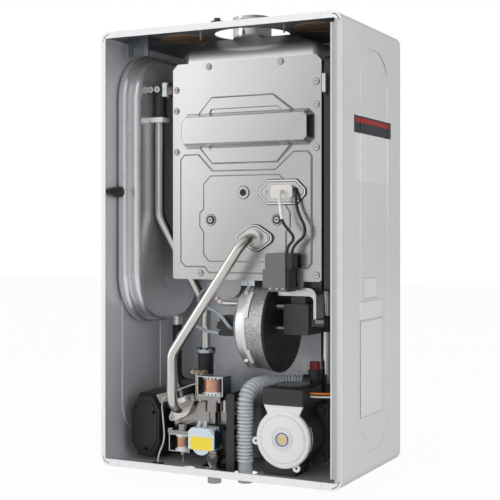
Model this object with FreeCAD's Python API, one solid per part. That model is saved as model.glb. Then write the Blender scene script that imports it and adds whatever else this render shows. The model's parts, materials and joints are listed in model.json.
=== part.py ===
import FreeCAD, Part
import math
import os

V = FreeCAD.Vector

# A wall-hung gas boiler with its front cover off. X to the right, Y to the wall, Z up, in millimetres.
# The origin is at the middle of the casing's width, on its back face and on its underside.
# A room is the distance from a piece to the side of the casing, and a gap the one to its neighbour.

# casing
CASE_W = 416.0
CASE_D = 256.0
CASE_H = 695.0
SHEET = 1.2
CASE_R = 15.0
LIP_LEFT = 8.0
LIP_RIGHT = 11.0
LIP_TOP = 10.0
LIP_BOTTOM = 11.0
SEAM_INSET = 33.0
SEAM_GAP = 0.3
SLOT_R = 11.0
SLOT_W = 1.2
RETURN_W = 12.0
RETURN_SETBACK = 12.0
RETURN_END_GAP = 14.0
CHANNEL_FRONT = 59.0
CHANNEL_BACK = 59.0
CHANNEL_BOTTOM = 38.0
CHANNEL_TOP = 40.0
CHANNEL_W = 18.0
CHANNEL_R_SHARE = 0.4
CHANNEL_R = (CASE_D - CHANNEL_FRONT - CHANNEL_BACK) * CHANNEL_R_SHARE
CHANNEL_DEPTH = 1.0
OVERRUN = 5.0
SEAT = 0.3
TOUCH = 0.001
LEFT = -CASE_W / 2
RIGHT = CASE_W / 2
FRONT = -CASE_D
BACK_IN = -SHEET - SEAT
FLOOR = SHEET
WALL_HOLE_R = 4.5
WALL_HOLE_SIDE_ROOM = 48.0
WALL_HOLE_TOP_ROOM = 18.0
WALL_HOLE_SPACING_X = CASE_W - 2 * WALL_HOLE_SIDE_ROOM
WALL_HOLE_LOW_Z = 21.0
WALL_HOLE_SPACING_Z = CASE_H - WALL_HOLE_LOW_Z - WALL_HOLE_TOP_ROOM
RAIL_Z = 124.0
RAIL_H = 12.0
RAIL_D = 9.0
RAIL_LEFT_ROOM = 138.0
RAIL_RIGHT_ROOM = 58.0
RAIL_LEFT_X = LEFT + RAIL_LEFT_ROOM
RAIL_RIGHT_X = RIGHT - RAIL_RIGHT_ROOM

# openings and plugs of the top panel
FLUE_X = 5.0
FLUE_Y = -138.0
FLUE_HOLE_R = 61.0
KNOCKOUT_R = 40.0
KNOCKOUT_LEFT_GAP = 115.0
KNOCKOUT_RIGHT_GAP = 125.0
KNOCKOUT_LEFT_X = FLUE_X - KNOCKOUT_LEFT_GAP
KNOCKOUT_RIGHT_X = FLUE_X + KNOCKOUT_RIGHT_GAP
KNOCKOUT_Y = -153.0
KNOCKOUT_BEAD = 1.0
GASKET_IN_R = 33.0
GASKET_T = 2.0
CAP_R = 10.0
CAP_TIP_R = 5.0
CAP_STEM_R = 4.0
CAP_H = 14.0
CAP_STEM_H = 5.0
CAP_X = -18.0
CAP_Y = -215.0

# front plate's place, from the sides of the casing
PLATE_LEFT_ROOM = 86.0
PLATE_RIGHT_ROOM = 66.0
PLATE_TOP_ROOM = 47.0
PLATE_X = LEFT + PLATE_LEFT_ROOM
PLATE_W = CASE_W - PLATE_LEFT_ROOM - PLATE_RIGHT_ROOM
PLATE_Z = 298.0
PLATE_H = CASE_H - PLATE_TOP_ROOM - PLATE_Z
PLATE_T = 3.0
PLATE_Y = -172.0
PLATE_FRONT = PLATE_Y - PLATE_T

# heat exchanger
HX_SIDE_IN = 22.0
HX_TOP_IN = 5.0
HX_LEFT_X = PLATE_X + HX_SIDE_IN
HX_RIGHT_X = PLATE_X + PLATE_W - HX_SIDE_IN
HX_BACK_Y = -33.0
HX_BOTTOM_IN = 6.0
HX_BOTTOM_Z = PLATE_Z + HX_BOTTOM_IN
HX_TOP_Z = PLATE_Z + PLATE_H - HX_TOP_IN
HX_R = 8.0
HX_LUG_W = 24.0
HX_LUG_H = 30.0
HX_LUG_X = 60.0
HX_LUG_DROP = 60.0
COPPER_R = 7.5
COPPER_TAIL = 35.0
COPPER_COLLAR_R = 8.6
COPPER_COLLAR_W = 6.0
SUMP_LEFT_X = -62.0
SUMP_RIGHT_X = -8.0
SUMP_FRONT_Y = -152.0
SUMP_BACK_Y = -62.0
SUMP_DROP = 38.0
SUMP_R = 24.0

# flue pipe and hood
FLUE_R = 31.0
FLUE_WALL = 1.0
FLUE_RISE = 25.0
FLUE_TOP_Z = CASE_H + FLUE_RISE
FLUE_BEAD_R = 2.0
FLUE_BEAD_DROP = 5.0
HOOD_LEFT_IN = 25.0
HOOD_RIGHT_IN = 9.0
HOOD_LEFT_X = PLATE_X + HOOD_LEFT_IN
HOOD_RIGHT_X = PLATE_X + PLATE_W - HOOD_RIGHT_IN
HOOD_RIM_H = 8.0
HOOD_RIM_R = 14.0
HOOD_RISE = 34.0
HOOD_RIM_Z = HX_TOP_Z + HOOD_RIM_H
HOOD_TOP = HOOD_RIM_Z + HOOD_RISE
HOOD_NECK_R = 57.0
HOOD_NECK_CORNER_R = 16.0
HOOD_NECK_DEPTH_SHARE = 0.67

# the front plate's pressed forms and screws
PLATE_CHAMFER = 9.0
PLATE_LOW_CHAMFER = 3.0
PAD_RISE = 1.2
PAD_DRAFT = 1.6
INNER_RISE = 1.0
INNER_FRONT = PLATE_FRONT - PAD_RISE - INNER_RISE
BAND_RISE = 1.8
BAR_RISE = 16.0
BAR_DRAFT = 6.0
BAR_CHAMFER = 9.0
BAR_LEFT_SHARE = 0.072
BAR_RIGHT_SHARE = 0.955
BAR_LOW_SHARE = 0.606
BAR_HIGH_SHARE = 0.763
PANEL_SHARES = (
    (0.057, 0.554), (0.083, 0.577), (0.182, 0.577), (0.28, 0.5),
    (0.705, 0.5), (0.822, 0.577), (0.913, 0.577), (0.939, 0.554),
    (0.939, 0.08), (0.913, 0.057), (0.855, 0.057), (0.79, 0.031),
    (0.254, 0.031), (0.226, 0.057), (0.091, 0.057), (0.057, 0.08))
INNER_PANEL_SHARES = (
    (0.269, 0.477), (0.727, 0.477), (0.765, 0.451), (0.777, 0.334),
    (0.803, 0.306), (0.803, 0.24), (0.777, 0.22), (0.777, 0.114),
    (0.746, 0.083), (0.258, 0.083), (0.22, 0.114), (0.22, 0.217),
    (0.193, 0.246), (0.193, 0.306), (0.22, 0.326), (0.22, 0.44))
UPPER_BAND_SHARES = ((0.186, 0.76), (0.277, 0.837), (0.689, 0.837), (0.822, 0.76))
UPPER_BAND_HOLE_SHARES = ((0.25, 0.755), (0.273, 0.783), (0.72, 0.783), (0.755, 0.755))
LOWER_BAND_SHARES = ((0.193, 0.61), (0.28, 0.532), (0.715, 0.532), (0.811, 0.61))
LOWER_BAND_HOLE_SHARES = ((0.245, 0.615), (0.273, 0.589), (0.72, 0.589), (0.75, 0.615))
SCREW_SHARES = (
    (0.254, 0.98), (0.739, 0.98), (0.97, 0.88), (0.97, 0.78),
    (0.97, 0.591), (0.027, 0.88), (0.027, 0.783), (0.027, 0.591),
    (0.197, 0.029), (0.97, 0.029))
BOLT_SHARES = ((0.273, 0.274), (0.72, 0.274))
WINDOW_SHARE = (0.496, 0.397)
SCREW_R = 3.2
SCREW_H = 2.2
WASHER_R = 4.6
WASHER_H = 0.8
BOLT_R = 4.0
BOLT_H = 3.0
BOLT_RING_R = 8.6
BOLT_RING_H = 1.0
WINDOW_R = 9.7
WINDOW_GLASS_R = 5.6
WINDOW_H = 4.0
WINDOW_GLASS_H = 2.0

# ignition
ELECTRODE_SHARE = (0.754, 0.397)
ELECTRODE_X = PLATE_X + ELECTRODE_SHARE[0] * PLATE_W
ELECTRODE_Z = PLATE_Z + ELECTRODE_SHARE[1] * PLATE_H
ELECTRODE_W = 79.0
ELECTRODE_H = 38.0
ELECTRODE_CUT = 15.0
ELECTRODE_T = 2.0
ELECTRODE_FRONT = INNER_FRONT - ELECTRODE_T
ELECTRODE_SCREW_SPACING = 57.0
CERAMIC_W = 37.0
CERAMIC_H = 20.0
CERAMIC_D = 9.0
CERAMIC_SHIFT = 3.0
CERAMIC_RIGHT_X = ELECTRODE_X + CERAMIC_SHIFT + CERAMIC_W / 2
CERAMIC_CHAMFER = 3.0
ROD_R = 2.0
ROD_SHIFT = 6.0
SIDE_ROD_RISE = 5.0
ROD_STICK_OUT = 4.0
LEAD_R = 2.3
LEAD_FIRST_BEND = 5.0
LEAD_BEND = 8.0
LEAD_ROD_GAP = 0.3
IGNITION_LEFT_ROUTE = (
    (82.9, -204.0, 437.0), (87.0, -203.5, 402.0), (90.0, -203.0, 387.0), (111.0, -201.0, 365.5),
    (95.5, -200.0, 352.0))
IGNITION_RIGHT_ROUTE = (
    (104.0, -184.2, 442.0), (105.0, -188.0, 410.0), (128.0, -192.0, 373.0), (103.0, -198.0, 352.0))
COIL_SHARE = 0.697
COIL_X = PLATE_X + COIL_SHARE * PLATE_W
COIL_W = 38.0
COIL_FACE_W = 34.0
COIL_DROP = 15.0
COIL_Z = PLATE_Z - COIL_DROP
COIL_H = 59.0
COIL_D = 31.0
COIL_FOOT_H = 6.0
COIL_FOOT_INSET = 3.0
COIL_LOW_H = 34.0
COIL_LOW_OUT = 4.0
COIL_TOP_R = 5.0
COIL_SIDE_BACK = 4.0
BOOT_IN = 4.0
BOOT_W = 14.0
BOOT_H = 24.0
BOOT_D = 22.0
BOOT_BACK = 2.5

# control box on the right wall
CONTROL_W = 46.0
CONTROL_FRONT_ROOM = 50.0
CONTROL_FRONT_Y = FRONT + CONTROL_FRONT_ROOM
CONTROL_BACK_Y = -40.0
CONTROL_BOTTOM_Z = 285.0
CONTROL_TOP_ROOM = 55.0
CONTROL_TOP_Z = CASE_H - CONTROL_TOP_ROOM
CONTROL_R = 10.0
CONTROL_SOCKET_W = 5.0
CONTROL_SOCKET_H = 32.0
CONTROL_SOCKET_D = 3.0
CONTROL_SOCKET_DROP = 60.0
CONTROL_SOCKET_Z = CONTROL_TOP_Z - CONTROL_SOCKET_DROP

# gas pipe and its flanges
GAS_R = 8.4
GAS_BEND = 25.0
BURNER_SHARE = (0.576, 0.191)
BURNER_X = PLATE_X + BURNER_SHARE[0] * PLATE_W
BURNER_Z = PLATE_Z + BURNER_SHARE[1] * PLATE_H
BURNER_T = 6.0
BURNER_FRONT = INNER_FRONT - BURNER_T
BURNER_EAR_R = 9.0
BURNER_MID_R = 21.0
BURNER_SCREW_SPACING = 44.0
BURNER_NECK_R = 14.0
BURNER_NECK_H = 8.0
GAS_TOP_Y = -214.0
GAS_LOW_X = -92.0
GAS_LOW_Y = -229.0
GAS_BEND_Z = 181.0
GAS_PORT_Z = 92.0
VALVE_FLANGE_Y = -199.0
VALVE_FLANGE_T = 5.0
VALVE_FLANGE_EAR_R = 6.0
VALVE_FLANGE_MID_R = 15.0
VALVE_SCREW_SPACING = 34.0
VALVE_SCREW_R = 2.8
VALVE_SCREW_H = 2.4

# gas valve
VALVE_BACK_Y = -152.0
VALVE_LEFT_X = -112.0
VALVE_RIGHT_X = -12.0
VALVE_TOP_Z = 106.0
VALVE_LOW_Z = 58.0
VALVE_FRONT_Y = -186.0
VALVE_EDGE_R = 6.0
PORT_R = 15.0
INLET_X = -32.0
INLET_Y = -198.0
INLET_R = 11.0
INLET_BORE_R = 8.0
INLET_FLANGE_R = 19.0
INLET_FLANGE_T = 4.0
INLET_COLLAR_Z = 14.0
INLET_COLLAR_R = 14.0
INLET_COLLAR_H = 10.0
INLET_TOP_Z = 29.0
INLET_DROP = 22.0
INLET_ARM_W = 20.0
INLET_ARM_T = 6.0
UPPER_X = -37.0
UPPER_Y = -190.0
UPPER_FRAME_W = 46.0
UPPER_FRAME_D = 28.0
UPPER_FRAME_Z = 115.0
UPPER_FRAME_H = 31.0
UPPER_COIL_R = 17.5
UPPER_COIL_TURNS = 8
UPPER_PLATE_W = 43.0
UPPER_PLATE_D = 30.0
UPPER_PLATE_T = 7.0
UPPER_PLATE_SHIFT = -2.5
UPPER_CAN_TOP = UPPER_FRAME_Z - UPPER_PLATE_T
UPPER_CAN_R = 14.0
UPPER_CAN_H = 18.0
UPPER_NECK_R = 8.0
UPPER_NECK_H = 20.0
LOWER_X = -88.0
LOWER_Y = -200.0
LOWER_FRAME_W = 38.0
LOWER_FRAME_D = 26.0
LOWER_FRAME_Z = 24.0
LOWER_FRAME_H = 28.0
LOWER_COIL_R = 11.5
LOWER_COIL_TURNS = 6
LOWER_BAR_W = 44.0
LOWER_BAR_D = 22.0
LOWER_BAR_T = 5.0
LOWER_NECK_R = 9.0
LOWER_BAR_TOP = LOWER_FRAME_Z + LOWER_FRAME_H + LOWER_BAR_T
LOWER_LUG_W = 5.0
LOWER_LUG_H = 8.0
FRAME_T = 1.5
WIRE_R = 1.0
WIRE_GAP = 0.6
WIRE_SEAT = 0.3
BOBBIN_FLANGE_T = 2.5
BOBBIN_FLANGE_R_SHARE = 1.06
PLUNGER_R = 4.5
PLUNGER_FIT = 0.08
PLUNGER_TRAVEL = 4.0
STEM_R = 1.2
STEM_FIT = 0.08
STEM_FOOT_R = 3.0
STEM_FOOT_H = 1.5
STEM_DROP = 17.0
LOWER_BUSH_R = 4.0
LOWER_BUSH_H = 7.0
MOD_X = -64.0
MOD_W = 46.0
MOD_FRONT_Y = -226.0
MOD_D = 28.0
MOD_Z = 34.0
MOD_H = 33.0
MOD_CHAMFER = 6.0
MOD_BULGE_R = 17.0
MOD_BULGE_T = 4.0
MOD_BULGE_RISE = 9.0
NIPPLE_R = 3.2
NIPPLE_H = 12.0
NIPPLE_TIP_R = 2.2
NIPPLE_TIP_H = 5.0
NIPPLE_PITCH = 8.5
NIPPLE_X = -82.0
NIPPLE_Y = -166.0
NIPPLE_STAND_H = 42.0
BRACKET_X = 2.0
BRACKET_FRONT_Y = -222.0
BRACKET_BACK_Y = -150.0
BRACKET_TOP_Z = 123.0
BRACKET_FLANGE_W = 13.0
BRACKET_T = 2.0
BRACKET_HOLE_SHARES = (
    (0.2, 0.5, 0.12, 0.3), (0.2, 0.55, 0.4, 0.58), (0.25, 0.6, 0.7, 0.88))
BRACKET_ARM_H = 8.0

# blower
FAN_Y = -136.0
FAN_Z = 225.0
FAN_LEFT_X = 0.0
FAN_RIM_X = 56.0
FAN_RIM_R = 75.0
FAN_TAPER = 9.0
FAN_LEFT_R = FAN_RIM_R - FAN_TAPER
FAN_CROWN = 7.0
FAN_WALL = 3.0
FAN_COVER_T = 4.0
FAN_BAND_X = 20.0
FAN_BAND_W = 5.0
FAN_BAND_RISE = 2.0
FAN_CLIP_W = 6.0
FAN_CLIP_L = 18.0
FAN_CLIP_T = 3.0
FAN_CLIP_DEG = (125.0, 235.0)
IMPELLER_R = 52.0
IMPELLER_LEFT_X = 16.0
IMPELLER_DEPTH = 30.0
IMPELLER_DISC_T = 2.0
IMPELLER_HUB_R = 9.0
BLADE_COUNT = 12
BLADE_T = 2.0
BLADE_IN_R = 36.0
BLADE_SWEEP_DEG = 12.0
SHAFT_R = 3.0
SHAFT_FIT = 0.05
ROTOR_R = 7.5
ROTOR_GAP = 0.8
MOTOR_X = 74.0
MOTOR_W = 42.0
MOTOR_D = 60.0
MOTOR_H = 48.0
MOTOR_DROP = 11.0
MOTOR_POST_R = 3.5
MOTOR_POST_INSET = 7.0
MOTOR_COIL_H = 22.0
MOTOR_COIL_INSET = 9.0
FAN_ARM_LEFT_X = 66.0
FAN_ARM_RIGHT_X = 131.0
FAN_ARM_TOP_Z = 288.0
FAN_ARM_FOOT_Z = 240.0
FAN_ARM_T = 4.5
FAN_ARM_BAR_H = 13.0
FAN_ARM_IN_R = 8.0
FAN_ARM_R = 14.0
FAN_ARM_FRONT_Y = -170.0
FAN_ARM_BACK_Y = -140.0
FAN_DUCT_R = 15.0
SWITCH_Y = -170.0
SWITCH_Z = 225.0
SWITCH_W = 30.0
SWITCH_H = 32.0
SWITCH_D = 26.0
SWITCH_FRONT_GAP = 8.0
SWITCH_FRONT_DROP = 3.0
SWITCH_FRONT_X = FAN_LEFT_X - SWITCH_FRONT_GAP
SWITCH_FRONT_Z = SWITCH_Z - SWITCH_FRONT_DROP
SWITCH_SIDE_DROP = 12.0
SWITCH_SIDE_FORWARD = 8.0
SWITCH_SIDE_Z = SWITCH_Z - SWITCH_SIDE_DROP
SWITCH_SIDE_Y = SWITCH_Y - SWITCH_SIDE_FORWARD
SWITCH_ARM_T = 3.0
SWITCH_NIPPLE_R = 1.8
SWITCH_NIPPLE_H = 5.0
SWITCH_SLEEVE_R = 3.4
SWITCH_SLEEVE_L = 4.0
TUBE_R = 2.8
TUBE_FIT = 0.1
SUMP_TUBE_BEND = 5.0
VALVE_TUBE_BEND = 7.0
SUMP_TUBE_ROUTE = (
    (-8.0, -191.0, 222.0), (-27.0, -190.0, 245.0), (-52.0, -188.0, 254.0), (-86.0, -160.0, 262.0),
    (-86.0, -128.0, 286.0))
VALVE_TUBE_ROUTE = (
    (-55.0, -178.0, 213.0), (-76.0, -188.0, 226.0), (-94.0, -202.0, 214.0), (-100.0, -204.5, 192.0),
    (-100.0, -204.5, 130.0), (-104.0, -178.0, 117.0))
SAMPLE_R = 3.5
SAMPLE_HEAD_R = 3.8
SAMPLE_HEAD_H = 13.0
SAMPLE_HEAD_DEG = 41.0
SAMPLE_L = 42.0
SAMPLE_FORWARD = 14.0
SAMPLE_Y = FAN_Y - SAMPLE_FORWARD
SAMPLE_Z = 258.5

# expansion tank
TANK_WALL_GAP = 4.0
TANK_WALL_X = LEFT + TANK_WALL_GAP
TANK_FRONT_ROOM = 38.0
TANK_FRONT_Y = FRONT + TANK_FRONT_ROOM
TANK_BOTTOM_Z = 222.0
TANK_TOP_ROOM = 23.0
TANK_TOP_Z = CASE_H - TANK_TOP_ROOM
TANK_CORNER_R = 82.0
TANK_RIM_T = 20.0
TANK_RIM_EDGE = 8.0
TANK_GROOVE_T = 2.5
TANK_GROOVE_IN = 9.0
TANK_DOME_T = 16.0
TANK_DOME_EDGE = 7.0
TANK_DOME_IN = 7.0
TANK_PORT_IN = 21.0
TANK_PORT_X = TANK_WALL_X + TANK_PORT_IN
TANK_PORT_Y = -58.0
TANK_PORT_R = 9.0
TANK_PORT_H = 10.0
BRACKET_PLATE_ROOM = 18.0
BRACKET_PLATE_X = LEFT + BRACKET_PLATE_ROOM
BRACKET_PLATE_W = 38.0
BRACKET_PLATE_Y = -204.0
BRACKET_PLATE_DROP = 33.0
BRACKET_PLATE_Z = CASE_H - BRACKET_PLATE_DROP
BRACKET_PLATE_T = 2.0
BRACKET_NOTCH_W = 22.0
BRACKET_NOTCH_H = 14.0
CLIP_Z = 440.0
CLIP_R = 9.0
CLIP_TIP_R = 4.0
CLIP_L = 34.0
CLIP_FOOT = 4.0
TANK_HOSE_R = 8.0
TANK_HOSE_BEND = 20.0
TANK_HOSE_Z = 106.0

# flow and return pipes
FLOW_ROOM = 54.0
FLOW_X = LEFT + FLOW_ROOM
FLOW_Y = -163.0
FLOW_R = 8.3
FLOW_KNEE_Z = 400.0
FLOW_BEND = 45.0
FLOW_LOW_ROOM = 117.0
FLOW_LOW_X = LEFT + FLOW_LOW_ROOM
FLOW_LOW_Y = -120.0
FLOW_LOW_KNEE_Z = 250.0
FLOW_END_Z = 181.0
ELBOW_R = 10.0
ELBOW_BEND = 12.0
ELBOW_TOP_ROOM = 86.0
ELBOW_Z = CASE_H - ELBOW_TOP_ROOM
ELBOW_H = 45.0
FLOW_TOP_Z = ELBOW_Z - ELBOW_H
ELBOW_COLLAR_R = 11.0
ELBOW_COLLAR_H = 8.0
ELBOW_PROBE_R = 4.5
ELBOW_PROBE_L = 9.0
ELBOW_PROBE_GAP = 11.0
ELBOW_CLIP_T = 8.0
ELBOW_CLIP_R = 11.2
RETURN_X = 114.0
RETURN_Y = -90.0
RETURN_R = 8.6
RETURN_LOW_Z = 132.0
RETURN_NUT_R = 12.0
RETURN_NUT_H = 14.0

# diverter valve and its drive
FITTING_R = 13.0
FITTING_RIM_R = 16.0
FITTING_RIM_H = 9.0
FITTING_LOW_Z = 96.0
BLOCK_FRONT_Y = -146.0
BLOCK_BACK_Y = -40.0
BLOCK_LOW_Z = 40.0
BLOCK_EDGE_R = 8.0
BLOCK_SPIGOT_W = 16.0
SPINDLE_R = 5.0
SPINDLE_HEAD_R = 8.0
SPINDLE_HEAD_H = 5.0
SPINDLE_L = 34.0
SPINDLE_TRAVEL = 8.0
SPINDLE_FIT = 0.05
SPINDLE_BORE_GAP = 0.5
DRIVE_ROOM = 48.0
DRIVE_X = LEFT + DRIVE_ROOM
DRIVE_Z = 58.0
DRIVE_W = 63.0
BLOCK_LEFT_X = DRIVE_X + DRIVE_W / 2 + SEAT
DRIVE_H = 104.0
DRIVE_CUT_W = 15.0
DRIVE_CUT_H = 24.0
DRIVE_FRONT_Y = -200.0
DRIVE_BACK_Y = -70.0
DRIVE_SHOULDER = 12.0
DRIVE_SHOULDER_IN = 5.0
DRIVE_SHIELD_RISE = 2.0
DRIVE_SHIELD_IN_SHARE = 0.78
DRIVE_RECESS_R = 3.2
DRIVE_RECESS_DEPTH = 3.0
DRIVE_RECESS_SHARES = ((-0.28, 0.28), (0.28, 0.22), (0.05, -0.36))

# pump
PUMP_X = 96.0
PUMP_Z = 60.0
PUMP_FRONT_Y = -217.0
PUMP_FACE_T = 6.0
PUMP_FACE_R = 45.0
PUMP_FACE_EDGE = 2.0
PUMP_FACE_RING_R = 38.0
PUMP_FACE_RING_T = 1.0
PUMP_BODY_R = 42.0
PUMP_BODY_END_Y = -140.0
PUMP_NECK_TOP_W = 66.0
PUMP_NECK_W = 54.0
PUMP_NECK_Z = 111.0
PUMP_NECK_FLARE_H = 12.0
PUMP_LUG_R = 6.0
PUMP_LUG_HOLE_R = 2.0
PUMP_LUG_T = 2.0
PUMP_LUG_DEG = (188.0, 296.0)
PUMP_FLANGE_HALF = 46.0
PUMP_FLANGE_T = 9.0
PUMP_FLANGE_R = 10.0
PUMP_BOLT_R = 5.0
PUMP_BOLT_H = 6.0
PUMP_BOLT_HALF = 37.0
PUMP_WALL = 4.0
VOLUTE_R = 44.0
VOLUTE_END_Y = -66.0
VOLUTE_EDGE = 6.0
PUMP_FOOT_W = 52.0
PUMP_FOOT_X = 84.0
PUMP_FOOT_FRONT_Y = -204.0
PUMP_FOOT_BACK_Y = -150.0
ROTOR_CAN_R = 24.0
ROTOR_CAN_L = 40.0
ROTOR_CLEAR = 1.0
PUMP_IMPELLER_R = 30.0
PUMP_IMPELLER_T = 9.0
VENT_R = 8.2
VENT_RING_R = 10.8
VENT_RING_T = 1.5
VENT_FIT = 0.08
VENT_DEPTH = 5.0
VENT_STICK_OUT = 0.5
VENT_SLOT_W = 1.8
VENT_SLOT_DEPTH = 1.6
TERMINAL_W = 68.0
TERMINAL_BACK_Y = -143.0
TERMINAL_H = 25.0
TERMINAL_LID_H = 8.3
TERMINAL_LINE_W = 1.0
TERMINAL_CHAMFER = 1.5
DIAL_Y = -177.0
DIAL_R = 28.0
DIAL_T = 3.5
DIAL_TOOTH = 1.6
DIAL_TOOTH_COUNT = 36
DIAL_PIN_R = 5.0
DIAL_PIN_L = 5.0
DIAL_FIT = 0.08

# relief valve
RELIEF_X = 104.0
RELIEF_Y = -112.0
RELIEF_Z = 133.0
RELIEF_R = 11.0
RELIEF_H = 21.0
RELIEF_KNOB_R = 8.0
RELIEF_KNOB_H = 13.0
RELIEF_RIB_COUNT = 8
RELIEF_RIB_R = 1.3
RELIEF_STEM_R = 3.0
RELIEF_STEM_L = 4.0
RELIEF_FIT = 0.08
RELIEF_BRANCH_W = 14.0

# ribbed hose
HOSE_X = 27.0
HOSE_Y = -206.0
HOSE_HOLE_R = 19.0
HOSE_CREST_R = 13.8
HOSE_ROOT_R = 11.6
HOSE_BORE_R = 10.2
HOSE_DROP = 14.0
HOSE_CUFF = 32.0
HOSE_RIB_COUNT = 40
HOSE_KNEE_X = 44.0
HOSE_KNEE_Y = -127.0
HOSE_BEND = 45.0
HOSE_KNEE_BEND = 26.0
HOSE_END_GAP = 18.0
HOSE_CREST_SHARES = (0.1, 0.35, 0.55, 0.8)

# plate heat exchanger
PHE_LEFT_X = -34.0
BLOCK_RIGHT_X = PHE_LEFT_X - SEAT
PHE_W = 74.0
PHE_FRONT_Y = -120.0
PHE_D = 60.0
PHE_H = 104.0
PHE_Z = 6.0
PHE_R = 12.0
PHE_PLATE_COUNT = 6
PHE_GROOVE = 1.5
PHE_GROOVE_SHARE = 0.3

# connections under the base
STUB_DROP = 24.0
STUB_UP = 6.0
STUB_TOP_Z = FLOOR + STUB_UP
STUB_BORE = 1.5
HEAT_R = 13.2
WATER_R = 10.5
STUB_Y = -60.0
STUB_CLEAR = 1.0
STUB_NUT = 4.0
HEAT_FLOW_X = -100.0
HOT_X = -52.0
COLD_X = 10.0
HEAT_RETURN_X = 96.0

# leads of the pump and the sensor
PUMP_LEAD_R = 1.6
PUMP_LEAD_PITCH = 5.0
PUMP_LEAD_BEND = 7.0
PUMP_LEAD_RISER_Y = -120.0
PUMP_LEAD_ROUTE = ((160.0, -190.0), (172.0, -150.0))
SENSOR_LEAD_R = 1.2
SENSOR_LEAD_BEND = 9.0
SENSOR_LEAD_ROUTE = (
    (-72.0, -190.0, 132.0), (-112.0, -206.0, 113.0), (-122.0, -212.0, 104.0), (-117.0, -214.0, 72.0),
    (-114.0, -214.0, 40.0), (-124.0, -219.0, 16.0))
PLUG_L = 18.0
PLUG_W = 7.0
PLUG_H = 4.0
RING_X = -71.0
RING_Y = -216.0
RING_R = 12.0

os.makedirs("parts", exist_ok=True)


def box(x0, y0, z0, x1, y1, z1):
    return Part.makeBox(x1 - x0, y1 - y0, z1 - z0, V(x0, y0, z0))


def rod_x(radius, x0, x1, y, z):
    return Part.makeCylinder(radius, x1 - x0, V(x0, y, z), V(1, 0, 0))


def rod_y(radius, y0, y1, x, z):
    return Part.makeCylinder(radius, y1 - y0, V(x, y0, z), V(0, 1, 0))


def rod_z(radius, z0, z1, x, y):
    return Part.makeCylinder(radius, z1 - z0, V(x, y, z0), V(0, 0, 1))


def join(first, *others):
    return first.fuse(list(others)).removeSplitter()


def rounded_points(half_w, half_h, radius):
    """A rounded rectangle about the origin, drawn in the XY plane."""
    diagonal = radius * (1 - math.sqrt(0.5))
    edges = []
    corners = ((1, 1), (-1, 1), (-1, -1), (1, -1))
    for index, (sx, sy) in enumerate(corners):
        flat_x = V(sx * half_w, sy * (half_h - radius), 0)
        flat_y = V(sx * (half_w - radius), sy * half_h, 0)
        middle = V(sx * (half_w - diagonal), sy * (half_h - diagonal), 0)
        start, end = (flat_x, flat_y) if sx == sy else (flat_y, flat_x)
        edges.append(Part.Arc(start, middle, end).toShape())
        next_sx, next_sy = corners[(index + 1) % 4]
        if sx == sy:
            target = V(next_sx * (half_w - radius), next_sy * half_h, 0)
        else:
            target = V(next_sx * half_w, next_sy * (half_h - radius), 0)
        edges.append(Part.makeLine(end, target))
    return Part.Wire(edges)


def placed(wire, centre, x_axis, y_axis):
    """Put a flat drawing at a place, with its X and Y along the given axes."""
    normal = x_axis.cross(y_axis)
    turn = FreeCAD.Rotation(x_axis, y_axis, normal, "ZXY")
    moved = wire.copy()
    moved.Placement = FreeCAD.Placement(centre, turn)
    return moved


def rounded_y(x0, z0, x1, z1, radius, y0, y1):
    """A rounded rectangle seen from the front, y0 to y1 deep."""
    wire = rounded_points((x1 - x0) / 2, (z1 - z0) / 2, radius)
    wire = placed(wire, V((x0 + x1) / 2, y1, (z0 + z1) / 2), V(1, 0, 0), V(0, 0, 1))
    return Part.Face(wire).extrude(V(0, y0 - y1, 0))


def rounded_x(y0, z0, y1, z1, radius, x0, x1):
    """A rounded rectangle seen from the side, x0 to x1 thick."""
    wire = rounded_points((y1 - y0) / 2, (z1 - z0) / 2, radius)
    wire = placed(wire, V(x0, (y0 + y1) / 2, (z0 + z1) / 2), V(0, 1, 0), V(0, 0, 1))
    return Part.Face(wire).extrude(V(x1 - x0, 0, 0))


def rounded_z(x0, y0, x1, y1, radius, z0, z1):
    """A rounded rectangle seen from above, z0 to z1 high."""
    wire = rounded_points((x1 - x0) / 2, (y1 - y0) / 2, radius)
    wire = placed(wire, V((x0 + x1) / 2, (y0 + y1) / 2, z0), V(1, 0, 0), V(0, 1, 0))
    return Part.Face(wire).extrude(V(0, 0, z1 - z0))


def outline_y(points, y0, y1):
    """A straight-sided outline seen from the front, y0 to y1 deep."""
    corners = [V(x, y1, z) for x, z in points]
    wire = Part.makePolygon(corners + corners[:1])
    return Part.Face(wire).extrude(V(0, y0 - y1, 0))


def drafted_y(points, y_base, rise, draft):
    """A raised pad that leaves y_base towards the front and narrows by the draft."""
    corners = [V(x, 0, z) for x, z in points]
    base = Part.makePolygon(corners + corners[:1])
    top = Part.Face(base).makeOffset2D(-draft, 2)
    base.translate(V(0, y_base, 0))
    top_wire = top.OuterWire
    top_wire.translate(V(0, y_base - rise, 0))
    return Part.makeLoft([base, top_wire], True, True)


def tangent_arc(start, corner, end):
    """The arc that leaves start and reaches end with both tangents through the corner."""
    back = (start - corner).normalize()
    ahead = (end - corner).normalize()
    half = back.getAngle(ahead) / 2
    reach = (start - corner).Length
    radius = reach * math.tan(half)
    inward = (back + ahead).normalize()
    centre = corner + inward * (reach / math.cos(half))
    return Part.Arc(start, centre - inward * radius, end).toShape()


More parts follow.
